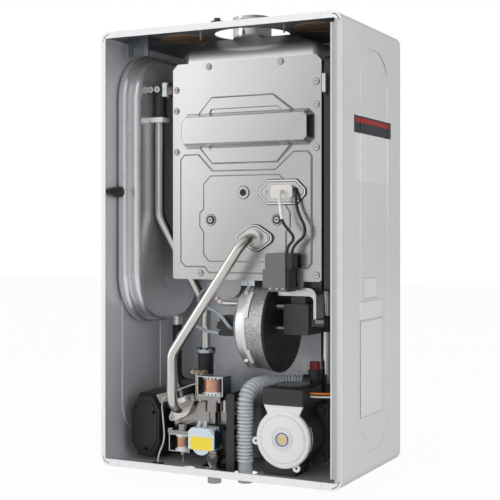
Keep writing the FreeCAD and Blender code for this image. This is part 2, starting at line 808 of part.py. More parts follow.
def bent_route(points, *bends):
    """Straight runs through the points, with a tangent arc at each corner."""
    places = [V(*point) for point in points]
    corners = len(places) - 2
    if len(bends) < corners:
        bends = bends * corners
    edges = []
    start = places[0]
    for before, corner, after, bend in zip(places, places[1:], places[2:], bends):
        back = (before - corner).normalize()
        ahead = (after - corner).normalize()
        reach = bend / math.tan(back.getAngle(ahead) / 2)
        bend_start = corner + back * reach
        bend_end = corner + ahead * reach
        edges.append(Part.makeLine(start, bend_start))
        edges.append(tangent_arc(bend_start, corner, bend_end))
        start = bend_end
    edges.append(Part.makeLine(start, places[-1]))
    return Part.Wire(edges)


def tube(route, radius):
    first = route.Edges[0]
    start = first.valueAt(first.FirstParameter)
    heading = first.tangentAt(first.FirstParameter)
    ring = Part.Wire(Part.makeCircle(radius, start, heading))
    return route.makePipeShell([ring], True, False)


def save(name, *solids):
    shape = solids[0] if len(solids) == 1 else Part.makeCompound(list(solids))
    shape.exportStep("parts/" + name + ".step")
    return shape


def side_channel(x_skin, direction):
    """The pressed channel of a side panel: the groove outside and the ridge inside."""
    y0 = FRONT + CHANNEL_FRONT
    y1 = -CHANNEL_BACK
    z1 = CASE_H - CHANNEL_TOP

    def ring(start, end):
        low, high = min(start, end), max(start, end)
        outer = rounded_x(y0, CHANNEL_BOTTOM, y1, z1, CHANNEL_R, low, high)
        inner = rounded_x(
            y0 + CHANNEL_W, CHANNEL_BOTTOM + CHANNEL_W, y1 - CHANNEL_W, z1 - CHANNEL_W,
            CHANNEL_R - CHANNEL_W, low, high)
        return outer.cut(inner)

    inside = x_skin + direction * SHEET
    groove = ring(x_skin, x_skin + direction * CHANNEL_DEPTH)
    ridge = ring(inside, inside + direction * CHANNEL_DEPTH)
    return groove, ridge


def corner_slots():
    slots = []
    for x_side, x_mid in ((LEFT, LEFT + CASE_R), (RIGHT, RIGHT - CASE_R)):
        for z_side, z_mid in ((0, CASE_R), (CASE_H, CASE_H - CASE_R)):
            ring = rod_y(SLOT_R + SLOT_W / 2, FRONT - OVERRUN, FRONT + SHEET, x_mid, z_mid)
            ring = ring.cut(rod_y(SLOT_R - SLOT_W / 2, FRONT - OVERRUN, FRONT + SHEET, x_mid, z_mid))
            quarter = box(
                min(x_side, x_mid), FRONT - OVERRUN, min(z_side, z_mid),
                max(x_side, x_mid), FRONT + SHEET, max(z_side, z_mid))
            slots.append(ring.common(quarter))
    return slots


def casing():
    outer = rounded_y(LEFT, 0, RIGHT, CASE_H, CASE_R, FRONT, 0)
    inner = rounded_y(
        LEFT + SHEET, SHEET, RIGHT - SHEET, CASE_H - SHEET, CASE_R - SHEET, FRONT + SHEET, OVERRUN)
    opening = box(
        LEFT + LIP_LEFT, FRONT - OVERRUN, LIP_BOTTOM,
        RIGHT - LIP_RIGHT, FRONT + SHEET + OVERRUN, CASE_H - LIP_TOP)
    shell = outer.cut([inner, opening] + corner_slots())

    seam_left = LEFT + SEAM_INSET
    seam_right = RIGHT - SEAM_INSET
    half_gap = SEAM_GAP / 2
    middle = CASE_H / 2
    left = shell.common(box(
        LEFT - OVERRUN, FRONT - OVERRUN, -OVERRUN, seam_left - half_gap, OVERRUN, CASE_H + OVERRUN))
    right = shell.common(box(
        seam_right + half_gap, FRONT - OVERRUN, -OVERRUN, RIGHT + OVERRUN, OVERRUN, CASE_H + OVERRUN))
    top = shell.common(box(
        seam_left + half_gap, FRONT - OVERRUN, middle, seam_right - half_gap, OVERRUN, CASE_H + OVERRUN))
    bottom = shell.common(box(
        seam_left + half_gap, FRONT - OVERRUN, -OVERRUN, seam_right - half_gap, OVERRUN, middle))

    groove, ridge = side_channel(LEFT, 1)
    save("casing_left", join(left.cut(groove), ridge))

    groove, ridge = side_channel(RIGHT, -1)
    lip_x = RIGHT - LIP_RIGHT
    setback = FRONT + RETURN_SETBACK
    web = box(lip_x, FRONT, RETURN_END_GAP, lip_x + SHEET, setback, CASE_H - RETURN_END_GAP)
    flange = box(
        lip_x + SHEET - RETURN_W, setback - SHEET, RETURN_END_GAP,
        lip_x + SHEET, setback, CASE_H - RETURN_END_GAP)
    save("casing_right", join(right.cut(groove), ridge, web, flange))

    flue_hole = rod_z(FLUE_HOLE_R, middle, CASE_H + OVERRUN, FLUE_X, FLUE_Y)
    cap_hole = rod_z(CAP_STEM_R, middle, CASE_H + OVERRUN, CAP_X, CAP_Y)
    beads = [
        rod_z(KNOCKOUT_R, CASE_H - KNOCKOUT_BEAD, CASE_H + OVERRUN, x, KNOCKOUT_Y).cut(
            rod_z(KNOCKOUT_R - KNOCKOUT_BEAD, CASE_H - KNOCKOUT_BEAD, CASE_H + OVERRUN, x, KNOCKOUT_Y))
        for x in (KNOCKOUT_LEFT_X, KNOCKOUT_RIGHT_X)]
    cap = join(
        rod_z(CAP_R, CASE_H, CASE_H + CAP_H - CAP_STEM_H, CAP_X, CAP_Y),
        rod_z(CAP_TIP_R, CASE_H, CASE_H + CAP_H, CAP_X, CAP_Y))
    save("casing_top", top.cut([flue_hole, cap_hole] + beads))
    save("top_cap", join(cap, rod_z(CAP_STEM_R, CASE_H - SHEET, CASE_H, CAP_X, CAP_Y)))
    save("knockout_gaskets", *[
        rod_z(KNOCKOUT_R, CASE_H - SHEET - GASKET_T, CASE_H - SHEET, x, KNOCKOUT_Y).cut(
            rod_z(GASKET_IN_R, CASE_H - SHEET - GASKET_T, CASE_H - SHEET, x, KNOCKOUT_Y))
        for x in (KNOCKOUT_LEFT_X, KNOCKOUT_RIGHT_X)])

    holes = [
        rod_z(HEAT_R + STUB_CLEAR, -OVERRUN, middle, HEAT_FLOW_X, STUB_Y),
        rod_z(HEAT_R + STUB_CLEAR, -OVERRUN, middle, HEAT_RETURN_X, STUB_Y),
        rod_z(WATER_R + STUB_CLEAR, -OVERRUN, middle, HOT_X, STUB_Y),
        rod_z(WATER_R + STUB_CLEAR, -OVERRUN, middle, COLD_X, STUB_Y),
        rod_z(INLET_R + STUB_CLEAR, -OVERRUN, middle, INLET_X, INLET_Y),
        rod_z(HOSE_HOLE_R, -OVERRUN, middle, HOSE_X, HOSE_Y),
        rod_z(RING_R, -OVERRUN, middle, RING_X, RING_Y)]
    save("casing_bottom", bottom.cut(holes))

    gap = SHEET + SEAT
    back = rounded_y(LEFT + gap, gap, RIGHT - gap, CASE_H - gap, CASE_R - gap, -SHEET, 0)
    wall_holes = [
        rod_y(WALL_HOLE_R, -OVERRUN, OVERRUN, side * WALL_HOLE_SPACING_X / 2, z)
        for side in (-1, 1)
        for z in (WALL_HOLE_LOW_Z, WALL_HOLE_LOW_Z + WALL_HOLE_SPACING_Z)]
    rail = outline_y(
        ((RAIL_LEFT_X, RAIL_Z), (RAIL_RIGHT_X, RAIL_Z),
         (RAIL_RIGHT_X, RAIL_Z + RAIL_H), (RAIL_LEFT_X, RAIL_Z + RAIL_H)),
        -SHEET - RAIL_D, -SHEET)
    save("casing_back", join(back.cut(wall_holes), rail))


def flue():
    pipe = rod_z(FLUE_R, HOOD_TOP, FLUE_TOP_Z, FLUE_X, FLUE_Y)
    bead = Part.makeTorus(FLUE_R, FLUE_BEAD_R, V(FLUE_X, FLUE_Y, FLUE_TOP_Z - FLUE_BEAD_DROP))
    bore = rod_z(FLUE_R - FLUE_WALL, HOOD_TOP - OVERRUN, FLUE_TOP_Z + OVERRUN, FLUE_X, FLUE_Y)
    save("flue_pipe", join(pipe, bead).cut(bore))

    rim_y = PLATE_Y + SEAT
    rim = rounded_z(HOOD_LEFT_X, rim_y, HOOD_RIGHT_X, HX_BACK_Y, HOOD_RIM_R, HX_TOP_Z, HOOD_RIM_Z)
    low = placed(
        rounded_points((HOOD_RIGHT_X - HOOD_LEFT_X) / 2, (HX_BACK_Y - rim_y) / 2, HOOD_RIM_R),
        V((HOOD_LEFT_X + HOOD_RIGHT_X) / 2, (rim_y + HX_BACK_Y) / 2, HOOD_RIM_Z), V(1, 0, 0), V(0, 1, 0))
    neck_half_d = HOOD_NECK_DEPTH_SHARE * (HX_BACK_Y - rim_y) / 2
    high = placed(
        rounded_points(HOOD_NECK_R, neck_half_d, HOOD_NECK_CORNER_R),
        V(FLUE_X, FLUE_Y, HOOD_TOP), V(1, 0, 0), V(0, 1, 0))
    slope = Part.makeLoft([low, high], True, True)
    save("flue_hood", join(rim, slope))


def heat_exchanger():
    body = rounded_z(HX_LEFT_X, PLATE_Y, HX_RIGHT_X, HX_BACK_Y, HX_R, HX_BOTTOM_Z, HX_TOP_Z)
    sump = rounded_y(
        SUMP_LEFT_X, HX_BOTTOM_Z - SUMP_DROP, SUMP_RIGHT_X, HX_BOTTOM_Z + SUMP_DROP,
        SUMP_R, SUMP_FRONT_Y, SUMP_BACK_Y)
    lugs = [
        box(side * HX_LUG_X - HX_LUG_W / 2, HX_BACK_Y - OVERRUN, z,
            side * HX_LUG_X + HX_LUG_W / 2, BACK_IN, z + HX_LUG_H)
        for side in (-1, 1)
        for z in (HX_BOTTOM_Z + HX_LUG_DROP, HX_TOP_Z - HX_LUG_DROP)]
    outlet_x = HX_LEFT_X - COPPER_TAIL
    outlet = join(
        rod_x(COPPER_R, outlet_x, HX_LEFT_X + OVERRUN, FLOW_Y, ELBOW_Z),
        rod_x(COPPER_COLLAR_R, outlet_x, outlet_x + COPPER_COLLAR_W, FLOW_Y, ELBOW_Z))
    save("heat_exchanger_body", join(body, sump, outlet, *lugs))


def at_share(share):
    return PLATE_X + share[0] * PLATE_W, PLATE_Z + share[1] * PLATE_H


def front_plate():
    x0, z0 = PLATE_X, PLATE_Z
    x1, z1 = PLATE_X + PLATE_W, PLATE_Z + PLATE_H
    cut, low = PLATE_CHAMFER, PLATE_LOW_CHAMFER
    sheet = outline_y(
        ((x0, z0 + low), (x0 + low, z0), (x1 - low, z0), (x1, z0 + low),
         (x1, z1 - cut), (x1 - cut, z1), (x0 + cut, z1), (x0, z1 - cut)),
        PLATE_FRONT, PLATE_Y)
    panel = drafted_y([at_share(s) for s in PANEL_SHARES], PLATE_FRONT, PAD_RISE, PAD_DRAFT)
    inner = drafted_y(
        [at_share(s) for s in INNER_PANEL_SHARES], PLATE_FRONT - PAD_RISE, INNER_RISE, PAD_DRAFT)
    bands = []
    for outer, hole in (
            (UPPER_BAND_SHARES, UPPER_BAND_HOLE_SHARES), (LOWER_BAND_SHARES, LOWER_BAND_HOLE_SHARES)):
        band = drafted_y([at_share(s) for s in outer], PLATE_FRONT, BAND_RISE, PAD_DRAFT)
        bands.append(band.cut(outline_y(
            [at_share(s) for s in hole], PLATE_FRONT - BAND_RISE - OVERRUN, PLATE_FRONT)))
    left, low_z = at_share((BAR_LEFT_SHARE, BAR_LOW_SHARE))
    right, high_z = at_share((BAR_RIGHT_SHARE, BAR_HIGH_SHARE))
    c = BAR_CHAMFER
    bar = drafted_y(
        ((left, low_z + c), (left + c, low_z), (right - c, low_z), (right, low_z + c),
         (right, high_z - c), (right - c, high_z), (left + c, high_z), (left, high_z - c)),
        PLATE_FRONT, BAR_RISE, BAR_DRAFT)
    rings = [
        rod_y(BOLT_RING_R, INNER_FRONT - BOLT_RING_H, PLATE_FRONT, x, z)
        for x, z in map(at_share, BOLT_SHARES)]
    window_x, window_z = at_share(WINDOW_SHARE)
    sockets = [
        rod_y(BOLT_RING_R - BOLT_RING_H, INNER_FRONT - OVERRUN, INNER_FRONT, x, z)
        for x, z in map(at_share, BOLT_SHARES)]
    window_ring = rod_y(WINDOW_R, PLATE_FRONT - WINDOW_H, PLATE_FRONT, window_x, window_z)
    window_hole = rod_y(
        WINDOW_GLASS_R, PLATE_FRONT - WINDOW_H - OVERRUN, PLATE_FRONT, window_x, window_z)
    plate = join(sheet, panel, inner, bar, window_ring, *bands, *rings)
    save("front_plate", plate.cut([window_hole] + sockets))
    save("sight_glass", rod_y(
        WINDOW_GLASS_R, PLATE_FRONT - WINDOW_GLASS_H, PLATE_FRONT, window_x, window_z))


def screw_y(x, y, z, washer_r, washer_h, head_r, head_h):
    """A screw head with its washer, seated on a face at y and looking to the front."""
    washer = rod_y(washer_r, y - washer_h, y, x, z)
    return join(washer, rod_y(head_r, y - washer_h - head_h, y, x, z))


def screws():
    heads = []
    for x, z in map(at_share, SCREW_SHARES):
        heads.append(screw_y(x, PLATE_FRONT, z, WASHER_R, WASHER_H, SCREW_R, SCREW_H))
    for x, z in map(at_share, BOLT_SHARES):
        heads.append(rod_y(BOLT_R, INNER_FRONT - BOLT_H, INNER_FRONT, x, z))
    for side in (-1, 1):
        x = BURNER_X + side * BURNER_SCREW_SPACING / 2
        heads.append(rod_y(SCREW_R, BURNER_FRONT - SCREW_H, BURNER_FRONT, x, BURNER_Z))
        x = ELECTRODE_X + side * ELECTRODE_SCREW_SPACING / 2
        heads.append(rod_y(SCREW_R, ELECTRODE_FRONT - SCREW_H, ELECTRODE_FRONT, x, ELECTRODE_Z))
    for side in (-1, 1):
        x = GAS_LOW_X + side * VALVE_SCREW_SPACING / 2
        z = GAS_PORT_Z + side * VALVE_SCREW_SPACING / 2
        heads.append(rod_y(VALVE_SCREW_R, VALVE_FLANGE_Y - VALVE_SCREW_H, VALVE_FLANGE_Y, x, z))
    save("screws", *heads)


def octagon_y(x, z, width, height, cut, y0, y1):
    """A plate with four cut corners seen from the front, y0 to y1 deep."""
    w, h = width / 2, height / 2
    return outline_y(
        [(x + px, z + pz) for px, pz in (
            (-w, cut - h), (cut - w, -h), (w - cut, -h), (w, cut - h),
            (w, h - cut), (w - cut, h), (cut - w, h), (-w, h - cut))], y0, y1)


def ignition():
    # one rod looks to the front and one comes out of the ceramic's right side
    flange = octagon_y(
        ELECTRODE_X, ELECTRODE_Z, ELECTRODE_W, ELECTRODE_H, ELECTRODE_CUT, ELECTRODE_FRONT, INNER_FRONT)
    face = ELECTRODE_FRONT - CERAMIC_D
    ceramic = octagon_y(
        ELECTRODE_X + CERAMIC_SHIFT, ELECTRODE_Z, CERAMIC_W, CERAMIC_H, CERAMIC_CHAMFER, face,
        ELECTRODE_FRONT)
    rod_x0 = ELECTRODE_X + ROD_SHIFT
    side_z = ELECTRODE_Z + SIDE_ROD_RISE
    side_y = ELECTRODE_FRONT - CERAMIC_D / 2
    front_rod = rod_y(ROD_R, face - ROD_STICK_OUT, ELECTRODE_FRONT, rod_x0, ELECTRODE_Z)
    side_rod = rod_x(ROD_R, rod_x0 + 2 * ROD_R, CERAMIC_RIGHT_X, side_y, side_z)
    save("electrode_insulator", ceramic.cut([front_rod, side_rod]))
    save("ignition_electrodes", flange, front_rod, side_rod)

    # the transformer: a grey box with a wider lower half, a black side and a boot over the leads' ends
    coil_back = INNER_FRONT - SEAT
    coil_front = coil_back - COIL_D
    base_z = COIL_Z + COIL_FOOT_H
    top_z = COIL_Z + COIL_H
    face_x1 = COIL_X + COIL_FACE_W
    upper = box(COIL_X, coil_front, base_z, face_x1, coil_back, top_z)
    upper = upper.makeFillet(COIL_TOP_R, [
        e for e in upper.Edges
        if abs(e.tangentAt(e.FirstParameter).y) > 0.5
        and e.CenterOfMass.x < COIL_X + TOUCH and e.CenterOfMass.z > top_z - TOUCH])
    lower = box(COIL_X - COIL_LOW_OUT, coil_front, base_z, face_x1, coil_back, COIL_Z + COIL_LOW_H)
    foot = box(
        COIL_X + COIL_FOOT_INSET, coil_front + COIL_FOOT_INSET, COIL_Z,
        face_x1, coil_back, base_z)
    side = box(face_x1, coil_front + COIL_SIDE_BACK, COIL_Z, COIL_X + COIL_W, coil_back, top_z)
    boot = box(
        face_x1 - BOOT_IN, coil_front + BOOT_BACK, top_z - BOOT_H,
        face_x1 - BOOT_IN + BOOT_W, coil_front + BOOT_BACK + BOOT_D, top_z)
    save("ignition_transformer", join(upper, lower, foot, side, boot))

    lead_end_z = top_z + SEAT
    left_lead = bent_route(
        ((rod_x0, face - ROD_STICK_OUT - LEAD_ROD_GAP, ELECTRODE_Z),) + IGNITION_LEFT_ROUTE
        + (IGNITION_LEFT_ROUTE[-1][:2] + (lead_end_z,),), LEAD_BEND)
    right_lead = bent_route(
        ((CERAMIC_RIGHT_X + LEAD_ROD_GAP, side_y, side_z),) + IGNITION_RIGHT_ROUTE
        + (IGNITION_RIGHT_ROUTE[-1][:2] + (lead_end_z,),), LEAD_FIRST_BEND)
    save("ignition_leads", tube(left_lead, LEAD_R), tube(right_lead, LEAD_R))


def control_box():
    x1 = RIGHT - SHEET - CHANNEL_DEPTH - SEAT
    body = rounded_x(
        CONTROL_FRONT_Y, CONTROL_BOTTOM_Z, CONTROL_BACK_Y, CONTROL_TOP_Z, CONTROL_R, x1 - CONTROL_W, x1)
    socket = box(
        x1 - CONTROL_W, CONTROL_FRONT_Y - CONTROL_SOCKET_D, CONTROL_SOCKET_Z,
        x1 - CONTROL_W + CONTROL_SOCKET_W, CONTROL_FRONT_Y + CONTROL_SOCKET_D,
        CONTROL_SOCKET_Z + CONTROL_SOCKET_H)
    save("control_box", join(body, socket))


def two_ear_flange(x, z, spacing, ear_r, mid_r, tilt_deg, y0, y1):
    """A diamond flange: a round middle and two smaller ears, joined by their common tangents."""
    reach = spacing / 2
    lean = math.asin((mid_r - ear_r) / reach)
    spots = []
    for sx, sz in ((1, 1), (-1, 1), (-1, -1), (1, -1)):
        normal = V(sx * math.sin(lean), 0, sz * math.cos(lean))
        ear = V(sx * reach, 0, 0) + normal * ear_r
        middle = normal * mid_r
        spots.append((ear, middle))
    loop = [
        spots[0][0], spots[0][1], spots[1][1], spots[1][0],
        spots[2][0], spots[2][1], spots[3][1], spots[3][0]]
    wire = Part.makePolygon(loop + loop[:1])
    core = Part.Face(wire).extrude(V(0, y1 - y0, 0))
    parts = [rod_y(mid_r, 0, y1 - y0, 0, 0)]
    parts += [rod_y(ear_r, 0, y1 - y0, side * reach, 0) for side in (-1, 1)]
    flange = join(core, *parts)
    flange.Placement = FreeCAD.Placement(V(x, y0, z), FreeCAD.Rotation(V(0, 1, 0), tilt_deg))
    return flange


def gas_pipe():
    route = bent_route((
        (BURNER_X, BURNER_FRONT, BURNER_Z),
        (BURNER_X, GAS_TOP_Y, BURNER_Z),
        (GAS_LOW_X, GAS_LOW_Y, GAS_BEND_Z),
        (GAS_LOW_X, GAS_LOW_Y, GAS_PORT_Z),
        (GAS_LOW_X, VALVE_FLANGE_Y, GAS_PORT_Z)), GAS_BEND)
    pipe = tube(route, GAS_R)
    burner_flange = two_ear_flange(
        BURNER_X, BURNER_Z, BURNER_SCREW_SPACING, BURNER_EAR_R, BURNER_MID_R, 0, BURNER_FRONT, INNER_FRONT)
    neck = rod_y(BURNER_NECK_R, BURNER_FRONT - BURNER_NECK_H, BURNER_FRONT, BURNER_X, BURNER_Z)
    valve_flange = two_ear_flange(
        GAS_LOW_X, GAS_PORT_Z, VALVE_SCREW_SPACING * math.sqrt(2), VALVE_FLANGE_EAR_R, VALVE_FLANGE_MID_R,
        -45, VALVE_FLANGE_Y, VALVE_FLANGE_Y + VALVE_FLANGE_T)
    save("gas_pipe", join(pipe, burner_flange, neck, valve_flange))


def gas_valve():
    # cast body with the inlet below, the pipe's port in front and the two solenoid seats
    body = box(VALVE_LEFT_X, VALVE_FRONT_Y, VALVE_LOW_Z, VALVE_RIGHT_X, VALVE_BACK_Y, VALVE_TOP_Z)
    body = body.makeFillet(VALVE_EDGE_R, [e for e in body.Edges if e.tangentAt(e.FirstParameter).x])
    port = rod_y(PORT_R, VALVE_FLANGE_Y + VALVE_FLANGE_T, VALVE_FRONT_Y + OVERRUN, GAS_LOW_X, GAS_PORT_Z)
    low_neck = rod_z(LOWER_NECK_R, LOWER_BAR_TOP, VALVE_LOW_Z + LOWER_NECK_R, LOWER_X, LOWER_Y)
    low_arm = box(
        LOWER_X - LOWER_NECK_R, LOWER_Y, VALVE_LOW_Z, LOWER_X + LOWER_NECK_R,
        VALVE_FRONT_Y + OVERRUN, VALVE_LOW_Z + LOWER_NECK_R)
    bar_half = LOWER_BAR_W / 2
    bar = box(
        LOWER_X - bar_half, LOWER_Y - LOWER_BAR_D / 2, LOWER_BAR_TOP - LOWER_BAR_T,
        LOWER_X + bar_half, LOWER_Y + LOWER_BAR_D / 2, LOWER_BAR_TOP)
    bar_lugs = [
        box(x, LOWER_Y - LOWER_BAR_D / 2, LOWER_BAR_TOP, x + LOWER_LUG_W,
            LOWER_Y + LOWER_BAR_D / 2, LOWER_BAR_TOP - LOWER_BAR_T + LOWER_LUG_H)
        for x in (LOWER_X - bar_half, LOWER_X + bar_half - LOWER_LUG_W)]
    can = rod_z(UPPER_CAN_R, UPPER_CAN_TOP - UPPER_CAN_H, UPPER_CAN_TOP, UPPER_X, UPPER_Y)
    neck = rod_z(
        UPPER_NECK_R, UPPER_CAN_TOP - UPPER_CAN_H - UPPER_NECK_H, UPPER_CAN_TOP - UPPER_CAN_H,
        UPPER_X, UPPER_Y)
    plate_x = UPPER_X + UPPER_PLATE_SHIFT
    plate = box(
        plate_x - UPPER_PLATE_W / 2, UPPER_Y - UPPER_PLATE_D / 2, UPPER_CAN_TOP,
        plate_x + UPPER_PLATE_W / 2, UPPER_Y + UPPER_PLATE_D / 2, UPPER_FRAME_Z)
    inlet = join(
        rod_z(INLET_R, -INLET_DROP, INLET_TOP_Z, INLET_X, INLET_Y),
        rod_z(INLET_FLANGE_R, FLOOR, FLOOR + INLET_FLANGE_T, INLET_X, INLET_Y),
        rod_z(INLET_COLLAR_R, INLET_COLLAR_Z, INLET_COLLAR_Z + INLET_COLLAR_H, INLET_X, INLET_Y))
    arm_half = INLET_ARM_W / 2
    arm = box(
        INLET_X - arm_half, INLET_Y, INLET_COLLAR_Z, INLET_X + arm_half, VALVE_BACK_Y,
        INLET_COLLAR_Z + INLET_COLLAR_H)
    riser = box(
        INLET_X - arm_half, VALVE_FRONT_Y, INLET_COLLAR_Z, INLET_X + arm_half, VALVE_BACK_Y,
        VALVE_LOW_Z + OVERRUN)
    seat = box(
        MOD_X + INLET_ARM_T, MOD_FRONT_Y + MOD_D + SEAT, MOD_Z + MOD_CHAMFER,
        MOD_X + MOD_W - INLET_ARM_T, VALVE_FRONT_Y + OVERRUN, MOD_Z + MOD_H - MOD_CHAMFER)
    link = box(
        MOD_X + INLET_ARM_T, VALVE_FRONT_Y, MOD_Z + MOD_CHAMFER,
        MOD_X + MOD_W - INLET_ARM_T, VALVE_BACK_Y, VALVE_LOW_Z + OVERRUN)
    bore = rod_z(INLET_BORE_R, -INLET_DROP - OVERRUN, INLET_COLLAR_Z, INLET_X, INLET_Y)
    upper_well = rod_z(
        PLUNGER_R + PLUNGER_FIT, UPPER_CAN_TOP - PLUNGER_TRAVEL, UPPER_FRAME_Z + OVERRUN, UPPER_X, UPPER_Y)
    lower_well = rod_z(
        PLUNGER_R + PLUNGER_FIT, LOWER_BAR_TOP - LOWER_BAR_T - OVERRUN, LOWER_BAR_TOP + PLUNGER_TRAVEL,
        LOWER_X, LOWER_Y)
    solid = join(
        body, port, low_neck, low_arm, bar, *bar_lugs, can, neck, plate, inlet, arm, riser, seat, link)
    save("gas_valve_body", solid.cut([bore, upper_well, lower_well]))

    nipples = []
    for index in range(3):
        x = NIPPLE_X + index * NIPPLE_PITCH
        stand = rod_z(NIPPLE_R, VALVE_TOP_Z, VALVE_TOP_Z + NIPPLE_STAND_H, x, NIPPLE_Y)
        head = rod_y(NIPPLE_R, NIPPLE_Y - NIPPLE_H, NIPPLE_Y, x, VALVE_TOP_Z + NIPPLE_STAND_H)
        tip = rod_y(
            NIPPLE_TIP_R, NIPPLE_Y - NIPPLE_H - NIPPLE_TIP_H, NIPPLE_Y, x, VALVE_TOP_Z + NIPPLE_STAND_H)
        nipples.append(join(stand, head, tip))
    save("test_nipples", *nipples)


def coil_frame(x, y, width, depth, z0, z1, bottom_hole_r, top_hole_r):
    """The bent strip round a coil: two sides, a top and a bottom, open to the front."""
    frame = box(x - width / 2, y - depth / 2, z0, x + width / 2, y + depth / 2, z1)
    t = FRAME_T
    window = box(
        x - width / 2 + t, y - depth / 2 - OVERRUN, z0 + t,
        x + width / 2 - t, y + depth / 2 + OVERRUN, z1 - t)
    frame = frame.cut(window)
    if bottom_hole_r:
        frame = frame.cut(rod_z(bottom_hole_r, z0 - OVERRUN, z0 + t + OVERRUN, x, y))
    if top_hole_r:
        frame = frame.cut(rod_z(top_hole_r, z1 - t - OVERRUN, z1 + OVERRUN, x, y))
    return frame


def bobbin(x, y, z0, z1, coil_r):
    core_r = coil_r - 2 * WIRE_R - WIRE_SEAT
    flange_r = coil_r * BOBBIN_FLANGE_R_SHARE
    core = rod_z(core_r, z0, z1, x, y)
    low = rod_z(flange_r, z0, z0 + BOBBIN_FLANGE_T, x, y)
    high = rod_z(flange_r, z1 - BOBBIN_FLANGE_T, z1, x, y)
    return join(core, low, high).cut(
        rod_z(PLUNGER_R + PLUNGER_FIT, z0 - OVERRUN, z1 + OVERRUN, x, y))


def winding(x, y, z_middle, radius, turns):
    """One wire wound as a helix, drawn as a pair of tangent arcs for each half turn."""
    pitch = 2 * WIRE_R + WIRE_GAP

    def place(step):
        angle = step * math.pi
        return V(
            x + radius * math.cos(angle), y + radius * math.sin(angle),
            z_middle + pitch * (step - turns) / 2)

    def heading(step):
        angle = step * math.pi
        return V(-math.sin(angle), math.cos(angle), pitch / (2 * math.pi * radius)).normalize()

    edges = []
    for step in range(2 * turns):
        start, end = place(step), place(step + 1)
        t0, t1 = heading(step), heading(step + 1)
        chord = end - start
        along = chord.dot(t0 + t1)
        spread = 1 - t0.dot(t1)
        reach = (math.sqrt(along ** 2 + 2 * spread * chord.dot(chord)) - along) / (2 * spread)
        first_corner = start + t0 * reach
        second_corner = end - t1 * reach
        joint = (first_corner + second_corner) / 2
        edges.append(tangent_arc(start, first_corner, joint))
        edges.append(tangent_arc(joint, second_corner, end))
    wire = Part.Wire(edges)
    return tube(wire, WIRE_R), wire


def least_gap(wire, turns, wire_r):
    """The least clear space between one turn and the next, from points on the wire's middle line."""
    per_turn = 24
    points = wire.discretize(turns * per_turn + 1)
    gaps = [
        (points[low] - points[high]).Length - 2 * wire_r
        for low in range(len(points))
        for high in range(low + per_turn // 2, min(len(points), low + per_turn + per_turn // 2))]
    return min(gaps)


def solenoids():
    t = FRAME_T
    low_top = LOWER_FRAME_Z + LOWER_FRAME_H
    up_top = UPPER_FRAME_Z + UPPER_FRAME_H
    upper_frame = coil_frame(
        UPPER_X, UPPER_Y, UPPER_FRAME_W, UPPER_FRAME_D, UPPER_FRAME_Z, up_top, PLUNGER_R + PLUNGER_FIT, 0)
    lower_frame = coil_frame(
        LOWER_X, LOWER_Y, LOWER_FRAME_W, LOWER_FRAME_D, LOWER_FRAME_Z, low_top,
        STEM_R + STEM_FIT, PLUNGER_R + PLUNGER_FIT)
    bush = rod_z(LOWER_BUSH_R, LOWER_FRAME_Z - LOWER_BUSH_H, LOWER_FRAME_Z, LOWER_X, LOWER_Y).cut(
        rod_z(STEM_R + STEM_FIT, LOWER_FRAME_Z - LOWER_BUSH_H - OVERRUN, LOWER_FRAME_Z, LOWER_X, LOWER_Y))
    save("solenoid_frames", upper_frame, join(lower_frame, bush))

    save(
        "solenoid_bobbins",
        bobbin(UPPER_X, UPPER_Y, UPPER_FRAME_Z + t, up_top - t, UPPER_COIL_R),
        bobbin(LOWER_X, LOWER_Y, LOWER_FRAME_Z + t, low_top - t, LOWER_COIL_R))

    upper_coil, upper_wire = winding(
        UPPER_X, UPPER_Y, (UPPER_FRAME_Z + up_top) / 2, UPPER_COIL_R - WIRE_R, UPPER_COIL_TURNS)
    lower_coil, lower_wire = winding(
        LOWER_X, LOWER_Y, (LOWER_FRAME_Z + low_top) / 2, LOWER_COIL_R - WIRE_R, LOWER_COIL_TURNS)
    print("least gap of the windings, mm:",
          round(least_gap(upper_wire, UPPER_COIL_TURNS, WIRE_R), 3),
          round(least_gap(lower_wire, LOWER_COIL_TURNS, WIRE_R), 3))
    save("solenoid_windings", upper_coil, lower_coil)

    upper_z = UPPER_CAN_TOP - PLUNGER_TRAVEL + SEAT
    save("upper_plunger", rod_z(PLUNGER_R, upper_z, up_top - t - SEAT - PLUNGER_TRAVEL, UPPER_X, UPPER_Y))
    lower_z = LOWER_FRAME_Z + t + SEAT
    foot_z = LOWER_FRAME_Z - STEM_DROP
    save("lower_plunger", join(
        rod_z(PLUNGER_R, lower_z, LOWER_BAR_TOP - SEAT, LOWER_X, LOWER_Y),
        rod_z(STEM_R, foot_z, lower_z + STEM_FOOT_H, LOWER_X, LOWER_Y),
        rod_z(STEM_FOOT_R, foot_z, foot_z + STEM_FOOT_H, LOWER_X, LOWER_Y)))


def modulator():
    x0, x1 = MOD_X, MOD_X + MOD_W
    z0, z1 = MOD_Z, MOD_Z + MOD_H
    c = MOD_CHAMFER
    housing = outline_y(
        ((x0, z0), (x1, z0), (x1, z1 - c), (x1 - c, z1), (x0 + c, z1), (x0, z1 - c)),
        MOD_FRONT_Y, MOD_FRONT_Y + MOD_D)
    bulge = rod_y(
        MOD_BULGE_R, MOD_FRONT_Y, MOD_FRONT_Y + MOD_BULGE_T,
        (x0 + x1) / 2, z0 + MOD_BULGE_R - MOD_BULGE_RISE)
    save("modulator_housing", join(housing, bulge))


